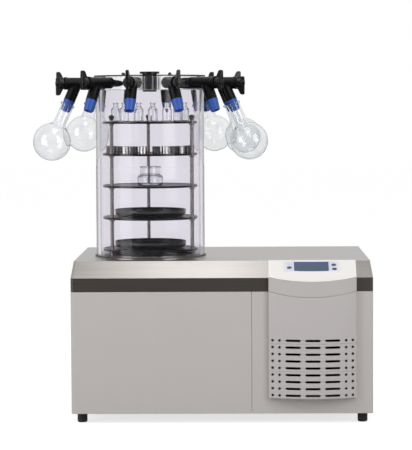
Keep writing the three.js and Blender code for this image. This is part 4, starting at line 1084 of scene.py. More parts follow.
@dataclass
class ControlModule:
    """The bowed module on the front: fascia, chin, grille cover, display and buttons.

    It bows out from its sides, which stand `side_depth` before the panels, and its lower edges
    start at a lift over the cabinet's own levels and drop towards the middle. `round` and
    `rim_width` belong to the grille's border, and `seams` are the grooves across it. `stations`
    is how many straight steps make up the bow, and `rises` how many go up each side.
    """

    bench: Bench
    side_depth: float = 0.012
    fascia_drop: float = 0.0104
    fascia_lift: float = 0.003
    chin_drop: float = 0.014
    chin_lift: float = 0.0013
    wall: float = 0.003
    edge: float = 0.0011
    round: float = 0.0025
    rim_width: float = 0.0045
    first_row: float = 0.0086
    rows: int = 9
    pitch: float = 0.01775
    slot_size: tuple[float, float] = (0.0392, 0.0062)
    slot_pitch: float = 0.0507
    hole_radius: float = 0.0035
    hole_shifts: tuple[float, ...] = (-0.103, -0.0855, 0.0855, 0.103)
    seams: tuple[float, ...] = (0.0705, 0.1417)
    stations: int = 32
    rises: int = 6
    glass: float = 0.0024
    glass_proud: float = 0.0006
    glass_corner: float = 0.0015
    print_half_height: float = 0.017
    buttons: tuple[str, ...] = ("button_left", "button_upper_right", "button_lower_right")
    button_height: float = 0.0086
    button_length: float = 0.0052
    button_dome: float = 0.0012

    def __post_init__(self) -> None:
        """Reads the module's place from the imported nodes."""
        self.low, self.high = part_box("grille_cover")
        self.middle = (self.low.x + self.high.x) / 2
        self.half = (self.high.x - self.low.x) / 2
        self.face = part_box("left_front_panel")[0].y
        self.bulge = self.face - self.side_depth - self.low.y
        self.band_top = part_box("top_cover")[0].z
        self.panel_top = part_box("trim_band")[0].z
        self.cover_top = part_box("top_cover")[1].z
        self.top_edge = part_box("control_fascia")[1]
        self.run = self.top_edge.y - self.face

    def bow(self, x: float) -> float:
        """How far the module's face bows out at x, straight from one station to the next.

        Args:
            x: Where across.

        Returns:
            1 in the module's middle and 0 at its sides.
        """
        step = 2 * self.half / self.stations
        before = math.floor((x - self.low.x) / step + SAME)
        share = (x - self.low.x) / step - before
        heights = [1 - (((before + n) * step - self.half) / self.half) ** 2 for n in (0, 1)]
        return heights[0] + (heights[1] - heights[0]) * share

    def front(self, x: float) -> float:
        """Y of the module's upright face at x."""
        return self.face - self.side_depth - self.bulge * self.bow(x)

    def fascia_edge(self, x: float) -> float:
        """Z of the fascia's lower edge at x."""
        return self.band_top + self.fascia_lift - self.fascia_drop * self.bow(x)

    def chin_edge(self, x: float) -> float:
        """Z of the chin's lower edge at x."""
        return self.panel_top + self.chin_lift - self.chin_drop * self.bow(x)

    def behind(self, x: float, z: float) -> Vector:
        """Where the cabinet's front or its cover's slope lies behind a point of the module."""
        rise = max(0.0, z - self.band_top) / (self.cover_top - self.band_top)
        return Vector((x, min(self.face + rise * self.run - FIT, self.top_edge.y), z))

    def backed(self, x: float, front: Sequence[Vector]) -> list[Vector]:
        """Closes a section of the module against the cabinet.

        Args:
            x: Where the section is.
            front: Its front points, from the upper to the lower one.

        Returns:
            The closed section.
        """
        upper, lower = min(front[0].z, self.cover_top + FIT), front[-1].z
        knee = max(lower + FIT, min(upper - FIT, self.band_top))
        return [*front, *(self.behind(x, z) for z in (lower, knee, upper))]

    def in_front(self, edge: bmesh.types.BMEdge) -> bool:
        """Whether an edge has an end well in front of the cabinet."""
        return min(vert.co.y for vert in edge.verts) < self.face - self.side_depth / 2

    def across(self) -> list[float]:
        """The X of every station over the module's width."""
        return [self.low.x + 2 * self.half * n / self.stations for n in range(self.stations + 1)]

    def on_slope(self, x: float, share: float, proud: float = 0.0) -> Vector:
        """A point of the fascia's face.

        Args:
            x: Where across.
            share: 0 at its upper edge and 1 at its lower edge.
            proud: How far the point stands off the face.

        Returns:
            The point.
        """
        top = Vector((x, self.top_edge.y, self.top_edge.z))
        low = Vector((x, self.front(x), self.fascia_edge(x)))
        down = (low - top).normalized()
        return top.lerp(low, share) + proud * Vector((0, down.z, -down.y))

    def slope(self) -> float:
        """The fascia's tilt from level, in its middle."""
        along = self.on_slope(self.middle, 0) - self.on_slope(self.middle, 1)
        return math.atan2(along.z, along.y)

    def slope_length(self) -> float:
        """The fascia's length down its middle."""
        return (self.on_slope(self.middle, 0) - self.on_slope(self.middle, 1)).length

    def build(self) -> None:
        """Builds all its pieces."""
        self.fascia()
        self.chin()
        self.grille()
        self.display()
        for name in self.buttons:
            self.button(name)

    def fascia(self) -> None:
        """The sloping fascia, closed against the cabinet."""
        sections = [
            self.backed(x, [self.on_slope(x, 0), self.on_slope(x, 1)]) for x in self.across()
        ]
        form = Form.skinned(sections).eased(self.edge, CORNER, 3, self.in_front)
        self.bench.piece("fascia_shell", form, Look.FASCIA, ["control_fascia"])

    def chin(self) -> None:
        """The upright band under the fascia."""
        sections = []
        for x in self.across():
            levels = (self.fascia_edge(x) - FIT, self.chin_edge(x))
            sections.append(self.backed(x, [Vector((x, self.front(x), z)) for z in levels]))
        form = Form.skinned(sections).eased(self.edge, CORNER, 3, self.in_front)
        self.bench.piece("chin_shell", form, Look.MOULDING, ["fascia_chin"])

    def slot_outline(self, x: float, z: float) -> list[tuple[float, float]]:
        """One slot with round ends.

        Args:
            x: Its middle across.
            z: Its middle in height.

        Returns:
            Its points of X and Z.
        """
        length, height = self.slot_size
        radius = height / 2
        run = length / 2 - radius
        turns = [
            (shift, math.radians(start + 30 * n))
            for shift, start in ((run, -90), (-run, 90)) for n in range(7)
        ]
        return [
            (x + shift + radius * math.cos(turn), z + radius * math.sin(turn))
            for shift, turn in turns
        ]

    def hole_outline(self, x: float, z: float) -> list[tuple[float, float]]:
        """One round hole.

        Args:
            x: Its middle across.
            z: Its middle in height.

        Returns:
            Its points of X and Z.
        """
        turns = [math.radians(30 * n) for n in range(12)]
        r = self.hole_radius
        return [(x + r * math.cos(turn), z + r * math.sin(turn)) for turn in turns]

    def rim(self, inset: float) -> list[tuple[float, float]]:
        """The grille cover's outline in X and Z, drawn in by an inset.

        Args:
            inset: How far inside the cover's outer edge it runs.

        Returns:
            As many points for any inset, in order.
        """
        left, right, floor = self.low.x + inset, self.high.x - inset, self.low.z + inset
        xs = [min(max(x, left), right) for x in self.across()]
        tops = [self.chin_edge(x) - FIT - inset for x in xs]
        rises = [n / self.rises for n in range(1, self.rises)]
        return [
            *((x, floor) for x in xs),
            *((right, floor + (tops[-1] - floor) * rise) for rise in rises),
            *zip(reversed(xs), reversed(tops)),
            *((left, floor + (tops[0] - floor) * (1 - rise)) for rise in rises),
        ]

    def grille(self) -> None:
        """The bowed cover: a slab with the slots and holes, inside a rounded rim."""
        holes = []
        for row in range(self.rows):
            z = self.low.z + self.first_row + row * self.pitch
            holes += [self.slot_outline(self.middle + n * self.slot_pitch, z) for n in (-1, 0, 1)]
            holes += [self.hole_outline(self.middle + shift, z) for shift in self.hole_shifts]
        slab = Form.plate([self.rim(self.rim_width), *holes])
        slab.thickened(lambda point: point + Vector((0, self.wall, 0))).sliced(self.across())
        slab.mapped(lambda point: point + Vector((0, self.front(point.x), 0)))

        def ring(inset: float, depth: float) -> list[Vector]:
            """The cover's outline at an inset, some way behind its face."""
            return [Vector((x, self.front(x) + depth, z)) for x, z in self.rim(inset)]

        def foot(inset: float) -> list[Vector]:
            """The outline at an inset, against the panels."""
            return [Vector((x, self.face - FIT, z)) for x, z in self.rim(inset)]

        bend = [math.radians(15 * n) for n in range(7)]
        rings = [
            ring(self.rim_width, 0),
            *(ring(self.round * (1 - math.sin(a)), self.round * (1 - math.cos(a))) for a in bend),
            foot(0), foot(self.wall), ring(self.rim_width, self.wall),
        ]
        slab.with_also(Form.skinned(rings, around=True))
        sharp = math.radians(45)
        self.bench.piece("grille_shell", slab, Look.GRILLE, ["grille_cover"], sharp=sharp)

    def glass_outline(self) -> list[tuple[float, float]]:
        """The display window's outline with its round corners.

        Returns:
            Points of X and the share of the way down the fascia, as `on_slope` takes them.
        """
        low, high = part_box("display_window")
        drop = self.slope_length() * math.sin(self.slope())
        wide, tall = self.glass_corner, self.glass_corner / self.slope_length()
        left, right = low.x + wide, high.x - wide
        top = (self.top_edge.z - high.z) / drop + tall
        bottom = (self.top_edge.z - low.z) / drop - tall
        corners = ((right, bottom, -90), (right, top, 0), (left, top, 90), (left, bottom, 180))
        turns = [
            (x, share, math.radians(start + 30 * n))
            for x, share, start in corners for n in range(4)
        ]
        return [
            (x + wide * math.cos(turn), share - tall * math.sin(turn)) for x, share, turn in turns
        ]

    def display(self) -> None:
        """The display's window, bent with the fascia."""
        low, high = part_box("display_window")
        form = Form.plate([self.glass_outline()])
        form.sliced(x for x in self.across() if low.x < x < high.x)
        form.thickened(lambda point: point + Vector((0, 1, 0)))

        def seated(point: Vector) -> Vector:
            """A point of a pane one metre thick, brought to the window's own thickness."""
            sunk = 0 if point.y < 0.5 else self.glass
            return self.on_slope(point.x, point.z, self.glass_proud - sunk)

        form.mapped(seated).cleaned().eased(0.0004, STEEP)
        self.bench.piece("display_glass", form, Look.DISPLAY, ["display_window"])

    def button(self, name: str) -> None:
        """One domed oval button.

        Args:
            name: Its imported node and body.
        """
        low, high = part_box(name)
        half = self.button_length / 2
        form = Form.oval(high.x - low.x, self.button_height, -half, half)
        form.eased(self.button_dome, CORNER, 4)
        normal = Vector((0, -math.sin(self.slope()), math.cos(self.slope())))
        turn = normal.to_track_quat("Z", "Y").to_matrix().to_4x4()
        form.moved(Matrix.Translation((low + high) / 2) @ turn)
        self.bench.piece(f"{name}_cap", form, Look.BUTTON, [name], body=name)


# ---------------------------------------------------------------- drum, lid and condenser pot


@dataclass
class DryingDrum:
    """The clear drum on its seal, the pot under it, and the lid with its stopper.

    The rim is the black line on the lid's edge, `rim_inset` inside it and up to `rim_height` over
    it.
    """

    bench: Bench
    wall: float = 0.010
    sides: int = 128
    seal_width: float = 0.016
    pot_radius: float = 0.120
    pot_wall: float = 0.0015
    pot_knee: float = 0.012
    pot_shoulder: float = 0.004
    pipe_bore: float = 0.010
    pipe_radius: float = 0.0125
    pipe_flange: float = 0.020
    pipe_taper: float = 0.004
    rim_inset: float = 0.0005
    rim_width: float = 0.0025
    rim_gap: float = 0.0001
    rim_height: float = 0.0028
    stopper_radius: float = 0.019
    stopper_head: float = 0.006
    stopper_dish: float = 0.001
    stopper_rim: float = 0.008

    def __post_init__(self) -> None:
        """Reads the drum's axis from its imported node."""
        low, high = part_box("drum")
        self.axis = Matrix.Translation(((low.x + high.x) / 2, (low.y + high.y) / 2, 0))
        self.radius = (high.x - low.x) / 2

    def build(self) -> None:
        """Builds all its pieces."""
        self.drum()
        self.seal()
        self.pot()
        self.lid()
        self.stopper()

    def ring(self, node: str, name: str, inner: float, ease: float, look: Look) -> None:
        """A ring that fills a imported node's height and width.

        Args:
            node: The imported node.
            name: The piece's name.
            inner: The ring's inner radius.
            ease: How far its edges are rounded.
            look: Its finish.
        """
        low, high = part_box(node)
        outer = (high.x - low.x) / 2
        outline = [(inner, low.z), (outer, low.z), (outer, high.z), (inner, high.z)]
        form = Form.turned(outline, self.sides, closed=True).eased(ease, SQUARE).moved(self.axis)
        self.bench.piece(name, form, look, [node])

    def drum(self) -> None:
        """The thick-walled clear tube."""
        self.ring("drum", "drum_tube", self.radius - self.wall, 0.0008, Look.DRUM)

    def seal(self) -> None:
        """The flat rubber ring under the drum."""
        low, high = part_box("base_seal")
        outer = (high.x - low.x) / 2
        self.ring("base_seal", "base_seal_ring", outer - self.seal_width, 0.0005, Look.SEAL)

    def pot(self) -> None:
        """The deep-drawn pot with its flange, and the vacuum pipe behind it."""
        low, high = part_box("condenser_pot")
        flange, top, floor = (high.x - low.x) / 2, high.z, low.z + self.pot_wall
        r, knee, shoulder = self.pot_radius, self.pot_knee, self.pot_shoulder
        bends = [math.radians(angle) for angle in range(0, 91, 15)]
        outline = [
            (flange, top), (r + shoulder, top),
            (r + 0.3 * shoulder, top - 0.3 * shoulder), (r, top - shoulder),
            *((r - knee * (1 - math.cos(a)), floor + knee * (1 - math.sin(a))) for a in bends),
            (0, floor),
        ]
        form = Form.turned(outline, 96)
        outside = [face for face in form.bm.faces if self.faces_away(face)]
        bmesh.ops.reverse_faces(form.bm, faces=outside)
        form.walled(self.pot_wall).with_also(self.pipe(high.y - self.axis.translation.y))
        self.bench.piece("condenser_pot_shell", form.moved(self.axis), Look.POT, ["condenser_pot"])

    def faces_away(self, face: bmesh.types.BMFace) -> bool:
        """Whether a face of the pot's sheet looks into the metal rather than at the vapour."""
        centre = face.calc_center_median()
        inwards = Vector((-centre.x, -centre.y, 0)).normalized() + Vector((0, 0, 1))
        return face.normal.dot(inwards) < 0

    def pipe(self, back: float) -> Form:
        """The flanged vacuum pipe, at the height of its port in the record.

        Args:
            back: How far behind the drum's axis it ends.

        Returns:
            The pipe, about the drum's axis.
        """
        bore, bar, lip, taper = self.pipe_bore, self.pipe_radius, self.pipe_flange, self.pipe_taper
        outline = [
            (bore, self.pot_radius), (bar, self.pot_radius), (bar, back - 2 * taper),
            (lip, back - taper), (lip, back), (bore, back),
        ]
        mounts = frame["record"]["mounts"]
        port = next(mount for mount in mounts if mount["name"] == "vacuum_port")
        place = Matrix.Translation((0, 0, port["pos_m"][2]))
        pipe = Form.turned(outline, 48, closed=True).eased(0.0006, BLUNT)
        return pipe.moved(place @ Matrix.Rotation(-math.pi / 2, 4, "X"))

    def lid(self) -> None:
        """The thick clear lid, with a thin black rim round its upper edge."""
        inner = self.stopper_radius + 2 * FIT
        self.ring("manifold_lid", "lid_disc", inner, 0.001, Look.LID)
        low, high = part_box("manifold_lid")
        outer, floor = (high.x - low.x) / 2 - self.rim_inset, high.z + self.rim_gap
        inner, top = outer - self.rim_width, high.z + self.rim_height
        outline = [(inner, floor), (outer, floor), (outer, top), (inner, top)]
        form = Form.turned(outline, self.sides, closed=True).eased(0.0004, SQUARE)
        self.bench.piece("lid_rim", form.moved(self.axis), Look.RUBBER)

    def stopper(self) -> None:
        """The black stopper in the lid's middle."""
        low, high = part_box("centre_stopper")
        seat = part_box("manifold_lid")[1].z + FIT
        r, head, top = self.stopper_radius, (high.x - low.x) / 2, high.z
        under, dish = top - self.stopper_head, self.stopper_dish
        outline = [
            (0, low.z), (r, low.z), (r, seat), (r + 0.0015, seat),
            (r + 0.0009, under), (head, under), (head, top), (head - self.stopper_rim, top),
            (head - self.stopper_rim - dish, top - dish), (0, top - dish),
        ]
        form = Form.turned(outline, 64).eased(0.0009, CORNER, 3).moved(self.axis)
        self.bench.piece("centre_stopper_body", form, Look.BLACK, ["centre_stopper"])


# ---------------------------------------------------------------- shelf rack and its load


@dataclass(frozen=True)
class Vial:
    """One small serum vial's own measures. `soft` is how far its corners are drawn in."""

    radius: float = 0.0124
    neck: float = 0.0062
    wall: float = 0.0012
    heel: float = 0.003
    shoulder: float = 0.019
    throat: float = 0.0095
    bead: float = 0.0014
    bead_height: float = 0.004
    soft: float = 0.001

    def outline(self, tall: float) -> Outline:
        """The glass wall's outline: up outside from under the foot, and down inside.

        Args:
            tall: The vial's height.

        Returns:
            Its points of radius and height.
        """
        r, inner, soft, heel = self.radius, self.radius - self.wall, self.soft, self.heel
        neck, bore, bead = self.neck, self.neck - self.wall, self.neck + self.bead
        shoulder, throat = tall - self.shoulder, tall - self.throat
        return [
            (0, heel / 2), (r - heel, 0), (r - 0.8 * soft, 0.8 * soft), (r, heel), (r, shoulder),
            (r - soft, shoulder + heel), (neck + soft, throat - 2 * soft), (neck, throat),
            (neck, tall - self.bead_height), (bead, tall - self.bead_height + soft / 2),
            (bead, tall - soft / 2), (neck + soft, tall), (bore, tall), (bore, throat),
            (inner - soft, shoulder + 1.5 * soft), (inner, shoulder - soft), (inner, heel + soft),
            (r - heel - soft, heel - soft / 2), (0, heel),
        ]


@dataclass(frozen=True)
class Jar:
    """The squat jar's own measures. `soft` is how far its corners are drawn in."""

    radius: float = 0.0345
    neck: float = 0.027
    wall: float = 0.0022
    heel: float = 0.005
    punt: float = 0.003
    body: float = 0.028
    shoulder: float = 0.008
    bead: float = 0.0022
    bead_height: float = 0.004
    soft: float = 0.001

    def outline(self, tall: float) -> Outline:
        """The glass wall's outline: up outside from under the foot, and down inside.

        Args:
            tall: The jar's height.

        Returns:
            Its points of radius and height.
        """
        r, inner, soft, heel = self.radius, self.radius - self.wall, self.soft, self.heel
        neck, bore, bead = self.neck, self.neck - self.wall, self.neck + self.bead
        body, shoulder = self.body, self.body - self.shoulder
        return [
            (0, self.punt), (r - heel - self.punt, soft), (r - heel, 0), (r - soft, 2 * soft),
            (r, heel), (r, shoulder), (r - 2 * soft, body - 3 * soft),
            (neck + 2 * soft, body - soft / 2), (neck, body + 1.5 * soft),
            (neck, tall - self.bead_height), (bead, tall - 3.2 * soft), (bead, tall - 0.8 * soft),
            (neck + soft, tall), (bore, tall), (bore, body + soft / 2),
            (inner - 1.5 * soft, body - heel), (inner, shoulder - soft), (inner, heel + soft),
            (r - heel - soft, 4.2 * soft), (0, heel + soft / 2),
        ]


@dataclass(frozen=True)
class Cup:
    """One small metal cup's own measures."""

    radius: float = 0.0105
    height: float = 0.021
    wall: float = 0.0012
    taper: float = 0.0002
    floor: float = 0.002
    lip: float = 0.0035
    lip_proud: float = 0.0003
    soft: float = 0.001

    def form(self) -> Form:
        """The hollow cup, standing on z = 0.

        Returns:
            The cup.
        """
        r, tall, soft, side = self.radius, self.height, self.soft, self.radius - self.lip_proud
        outline = [
            (0, 0), (r - soft, 0), (side, soft), (side, tall - self.lip - soft / 2),
            (r, tall - self.lip), (r, tall), (r - self.wall, tall),
            (r - self.wall - self.taper, self.floor), (0, self.floor),
        ]
        return Form.turned(outline, 32).eased(0.0003)


@dataclass
class ShelfRack:
    """Three rods with collars and ball knobs, five shelves, and what stands on them.

    A shelf's face lies `shelf_sunk` below its rim, and its underside is hollow inside a lip.
    `collar` gives the radius at each distance under a shelf. Angles are in degrees from the
    front, towards the right.
    """

    bench: Bench
    axis: Matrix
    shelf_thick: float = 0.0055
    shelf_sunk: float = 0.0012
    shelf_rim: float = 0.003
    shelf_lip: float = 0.004
    shelf_hollow: float = 0.001
    rod_radius: float = 0.0045
    rod_places: tuple[tuple[float, float], ...] = (
        (0.1105, -0.0546), (-0.0100, 0.1228), (-0.0960, -0.0730),
    )
    rod_top: float = 0.007
    collar: Outline = ((0.0045, 0.004), (0.0062, 0.003), (0.007, 0.002), (0.007, 0), (0.0045, 0))
    ball_radius: float = 0.007
    stem_radii: tuple[float, float] = (0.0052, 0.0056)
    ring_width: float = 0.018
    ring_height: float = 0.0045
    load_gap: float = 0.0001
    vial: Vial = Vial()
    vial_angles: tuple[float, ...] = (-66, -41, -15, 7, 30, 52, 75)
    vial_circle: float = 0.096
    cup: Cup = Cup()
    cup_first_angles: tuple[float, ...] = (-85, 11)
    cups_per_run: int = 7
    cup_step: float = 13.0
    cup_circle: float = 0.108
    jar: Jar = Jar()
    trays: tuple[str, ...] = ("sample_tray_1", "sample_tray_2")
    tray_foot: float = 0.0825
    tray_wall: float = 0.0012
    tray_roll: float = 0.0016
    tray_overhang: float = 0.0006

    def build(self) -> None:
        """Builds all its pieces."""
        self.posts()
        for n in range(1, 6):
            self.shelf(f"shelf_{n}")
        self.vials()
        self.cups()
        self.sample_jar()
        for node in self.trays:
            self.tray(node)

    def on_rod(self, place: tuple[float, float]) -> Matrix:
        """The move to a rod from its place about the drum's axis."""
        return self.axis @ Matrix.Translation((*place, 0))

    def shelf_top(self, node: str) -> float:
        """Z of a shelf's rim."""
        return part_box(node)[0].z + self.shelf_thick

    def load_floor(self, node: str) -> float:
        """Z at which a shelf's load stands, inside its rim."""
        return self.shelf_top(node) - self.shelf_sunk + self.load_gap

    def posts(self) -> None:
        """The foot ring, the rods with a collar under every shelf, and the balls on top."""
        low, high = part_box("rack_frame")
        outer = (high.x - low.x) / 2
        inner, ring_top = outer - self.ring_width, low.z + self.ring_height
        outline = [(inner, low.z), (outer, low.z), (outer, ring_top), (inner, ring_top)]
        ring = Form.turned(outline, 96, closed=True).eased(0.0007, SQUARE).moved(self.axis)
        top, foot = self.shelf_top("shelf_1") + self.rod_top, low.z + 0.001
        outline = [(0, foot), (self.rod_radius, foot)]
        for n in range(5, 0, -1):
            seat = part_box(f"shelf_{n}")[0].z - FIT
            outline += [(radius, seat - below) for radius, below in self.collar]
        outline += [(self.rod_radius, top), (0, top)]
        rods = [Form.turned(outline, 24).moved(self.on_rod(place)) for place in self.rod_places]
        self.bench.piece("rack_posts", ring.with_also(*rods), Look.ROD, ["rack_frame"])
        for number, place in enumerate(self.rod_places, 1):
            self.ball(f"rack_ball_{number}", place, top - 0.001, high.z)

    def ball(self, name: str, place: tuple[float, float], low: float, high: float) -> None:
        """One black ball knob on a rod's end.

        Args:
            name: The piece's name.
            place: Its rod's place about the drum's axis.
            low: Its lower end.
            high: Its upper end.
        """
        form = Form()
        bmesh.ops.create_uvsphere(form.bm, u_segments=32, v_segments=16, radius=1.0)
        half, r = (high - low) / 2, self.ball_radius
        middle, foot = low + half, low - 0.002
        bmesh.ops.scale(form.bm, vec=(r, r, half), verts=form.bm.verts)
        slim, wide = self.stem_radii
        stem = Form.turned([(0, foot), (slim, foot), (wide, middle), (0, middle)], 24)
        form.moved(Matrix.Translation((0, 0, middle))).with_also(stem).moved(self.on_rod(place))
        self.bench.piece(name, form, Look.BLACK)

    def shelf(self, node: str) -> None:
        """One round shelf with a slightly raised rim.

        Args:
            node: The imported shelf.
        """
        low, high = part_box(node)
        r, floor, top = (high.x - low.x) / 2, low.z, self.shelf_top(node)
        lip, under = r - self.shelf_lip, floor + self.shelf_hollow
        rim, sunk = r - self.shelf_rim, top - self.shelf_sunk
        outline = [
            (0, under), (lip, under), (lip, floor), (r, floor), (r, top),
            (rim, top), (rim - 0.0008, sunk), (0, sunk),
        ]
        form = Form.turned(outline, 128).eased(0.0006).moved(self.axis)
        self.bench.piece(f"{node}_plate", form, Look.SHELF, [node])

    def vials(self) -> None:
        """The vials on the top shelf."""
        floor = self.load_floor("shelf_1")
        outline = self.vial.outline(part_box("shelf_1")[1].z - floor)
        up = Matrix.Translation((0, 0, floor))
        for number, angle in enumerate(self.vial_angles, 1):
            place = self.axis @ round_place(self.vial_circle, angle) @ up
            self.bench.piece(f"vial_{number}", Form.turned(outline, 40).moved(place), Look.GLASS)

    def cups(self) -> None:
        """The two runs of small metal cups on the second shelf."""
        up = Matrix.Translation((0, 0, self.load_floor("shelf_2")))
        angles = [
            first + n * self.cup_step
            for first in self.cup_first_angles for n in range(self.cups_per_run)
        ]
        for number, angle in enumerate(angles, 1):
            place = self.axis @ round_place(self.cup_circle, angle) @ up
            # Every other cup takes a darker copy of the same steel: a painted dark reflection of the dim room
            # mirrored in polished metal.
            look = Look.CUP if number % 2 else Look.DARK_REFLECTION_CUP
            self.bench.piece(f"cup_{number:02d}", self.cup.form().moved(place), look)

    def sample_jar(self) -> None:
        """The squat jar on the third shelf."""
        floor = self.load_floor("shelf_3")
        outline = self.jar.outline(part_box("shelf_3")[1].z - floor)
        form = Form.turned(outline, 64).moved(self.axis @ Matrix.Translation((0, 0, floor)))
        self.bench.piece("sample_jar", form, Look.GLASS)

    def tray(self, node: str) -> None:
        """One tray with an upright wall, a well rounded foot and a rolled rim.

        Args:
            node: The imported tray.
        """
        low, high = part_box(node)
        rim, foot, wall, roll = (high.x - low.x) / 2, self.tray_foot, self.tray_wall, self.tray_roll
        knee = rim - self.tray_overhang - foot
        floor, centre, top = low.z, low.z + knee, high.z - roll
        bends = [math.radians(angle) for angle in range(0, 91, 15)]
        turns = [math.radians(angle) for angle in range(150, -121, -30)]
        outside, inside = (
            [(foot + r * math.sin(a), centre - r * math.cos(a)) for a in bends]
            for r in (knee, knee - wall)
        )
        lip = [(rim - roll + roll * math.sin(a), top + roll * math.cos(a)) for a in turns]
        outline = [(0, floor), *outside, *lip, *reversed(inside), (0, floor + wall)]
        form = Form.turned(outline, 128).moved(self.axis)
        self.bench.piece(f"{node}_dish", form, Look.TRAY, [node])


# ---------------------------------------------------------------- valves and flasks


@dataclass
class Valve:
    """One flask valve's own measures, along its barrel from the lid's rim and down its branch.

    `soft` is how far its corners are drawn in. The two grains are the finest sizes kept where its
    bodies run into each other.
    """

    barrel: float = 0.0875
    radius: float = 0.015
    collar_radius: float = 0.0165
    collar: float = 0.010
    stub: float = 0.025
    stub_radius: float = 0.0085
    branch_at: float = 0.0523
    tilt: float = 24.0
    branch: float = 0.0505
    cone: float = 0.0295
    cone_tip: float = 0.01225
    bore: float = 0.0085
    knob_radius: float = 0.0126
    knob: float = 0.013
    hub_radius: float = 0.0065
    hub: float = 0.0087
    arm: float = 0.032
    tail: float = 0.0165
    shoulder: float = 0.014
    tip_length: float = 0.0105
    lever_start: float = 0.0015
    lever_short: float = 0.0008
    root_width: float = 0.0105
    tip_width: float = 0.007
    fin_corner: float = 0.0035
    fin_edge: float = 0.0016
    bore_depth: float = 0.012
    soft: float = 0.001
    body_grain: float = 0.0011
    plug_grain: float = 0.0009
    flask_hang: float = 0.060

    def branch_root(self) -> Matrix:
        """The branch's root on the barrel, with Z back up the branch."""
        root = Matrix.Translation((self.branch_at, 0, 0))
        return root @ Matrix.Rotation(math.radians(-self.tilt), 4, "Y")

    def down_branch(self) -> Matrix:
        """Turns a form built along +Z so that it points down the branch."""
        return self.branch_root() @ Matrix.Rotation(math.pi, 4, "X")

    def flask_place(self) -> Matrix:
        """Where a flask's lip hangs, with the flask's own Z up its neck."""
        return self.branch_root() @ Matrix.Translation((0, 0, -self.flask_hang))

    def body_form(self) -> Form:
        """Barrel, stub and branch, moulded in one.

        Returns:
            The body in the valve's own frame.
        """
        along = Matrix.Rotation(math.pi / 2, 4, "Y")
        r, wide, end, soft = self.radius, self.collar_radius, self.barrel, self.soft
        barrel = Form.turned([
            (0, 0), (r - soft, 0), (r, soft), (r, end - self.collar),
            (wide, end - self.collar + soft), (wide, end - soft), (wide - soft, end), (0, end),
        ], 48).moved(along)
        branch = Form.turned([(0, 0), (r, 0), (r, self.branch), (0, self.branch)], 48)
        body = barrel.with_also(branch.moved(self.down_branch())).fused(self.body_grain, 6)
        start, slim = -self.stub, self.stub_radius
        stub = Form.turned([(0, start), (slim, start), (slim, 2 * soft), (0, 2 * soft)], 32)
        return body.with_also(stub.moved(along))

    def cone_form(self) -> Form:
        """The blue tapered cone with its bore.

        Returns:
            The cone in the valve's own frame.
        """
        r, tip, bore, soft = self.radius, self.cone_tip, self.bore, self.soft
        start, end = self.branch - soft / 2, self.branch + self.cone
        floor = end - self.bore_depth
        outline = [
            (0, start), (r + 0.1 * soft, start), (r + 0.3 * soft, start + 2 * soft),
            (r - 0.4 * soft, start + 4 * soft), (tip + 0.2 * soft, end - 2 * soft),
            (tip - 0.8 * soft, end), (bore + soft / 2, end), (bore, end - soft),
            (bore - 2 * soft, floor), (0, floor),
        ]
        return Form.turned(outline, 48).moved(self.down_branch())

    def plug_form(self) -> Form:
        """The turning knob with its hub and lever, lever up.

        Returns:
            The plug in the valve's own frame.
        """
        face = self.barrel + FIT
        shoulder, end = face + self.knob, face + self.knob + self.hub
        knob = Form.turned([
            (0, face), (self.knob_radius, face), (self.knob_radius, shoulder),
            (self.hub_radius, shoulder), (self.hub_radius, end), (0, end),
        ], 48).eased(self.soft).moved(Matrix.Rotation(math.pi / 2, 4, "Y"))
        lever = self.lever_form(face + self.lever_start, end - self.lever_short)
        return knob.with_also(lever).fused(self.plug_grain, 3)

    def lever_form(self, start: float, end: float) -> Form:
        """The lever as a fin along the barrel, thinner towards both its ends.

        Args:
            start: Its inner end along the barrel.
            end: Its outer edge.

        Returns:
            The fin, standing over the barrel's axis.
        """
        fin = Form.plate([[
            (start, -self.tail), (end, -self.tail), (end, 0), (end, self.arm),
            (end - self.tip_length, self.arm), (start, self.shoulder), (start, 0),
        ]])
        corners = [vert for vert in fin.bm.verts if vert.co.z > self.shoulder or vert.co.z < 0]
        bmesh.ops.bevel(
            fin.bm, geom=corners, offset=self.fin_corner, offset_type="OFFSET", segments=4,
            profile=0.5, affect="VERTICES", clamp_overlap=True, material=-1,
        )
        fin.moved(Matrix.Translation((0, -0.5, 0)))
        fin.thickened(lambda point: point + Vector((0, 1, 0)))

        def narrowed(point: Vector) -> Vector:
            """A point of a fin one metre thick, brought to the lever's own width there."""
            reach = point.z / self.arm if point.z > 0 else -point.z / self.tail
            width = self.root_width + (self.tip_width - self.root_width) * min(1.0, reach)
            return Vector((point.x, point.y * width, point.z))

        return fin.mapped(narrowed).eased(self.fin_edge, STEEP, 3)


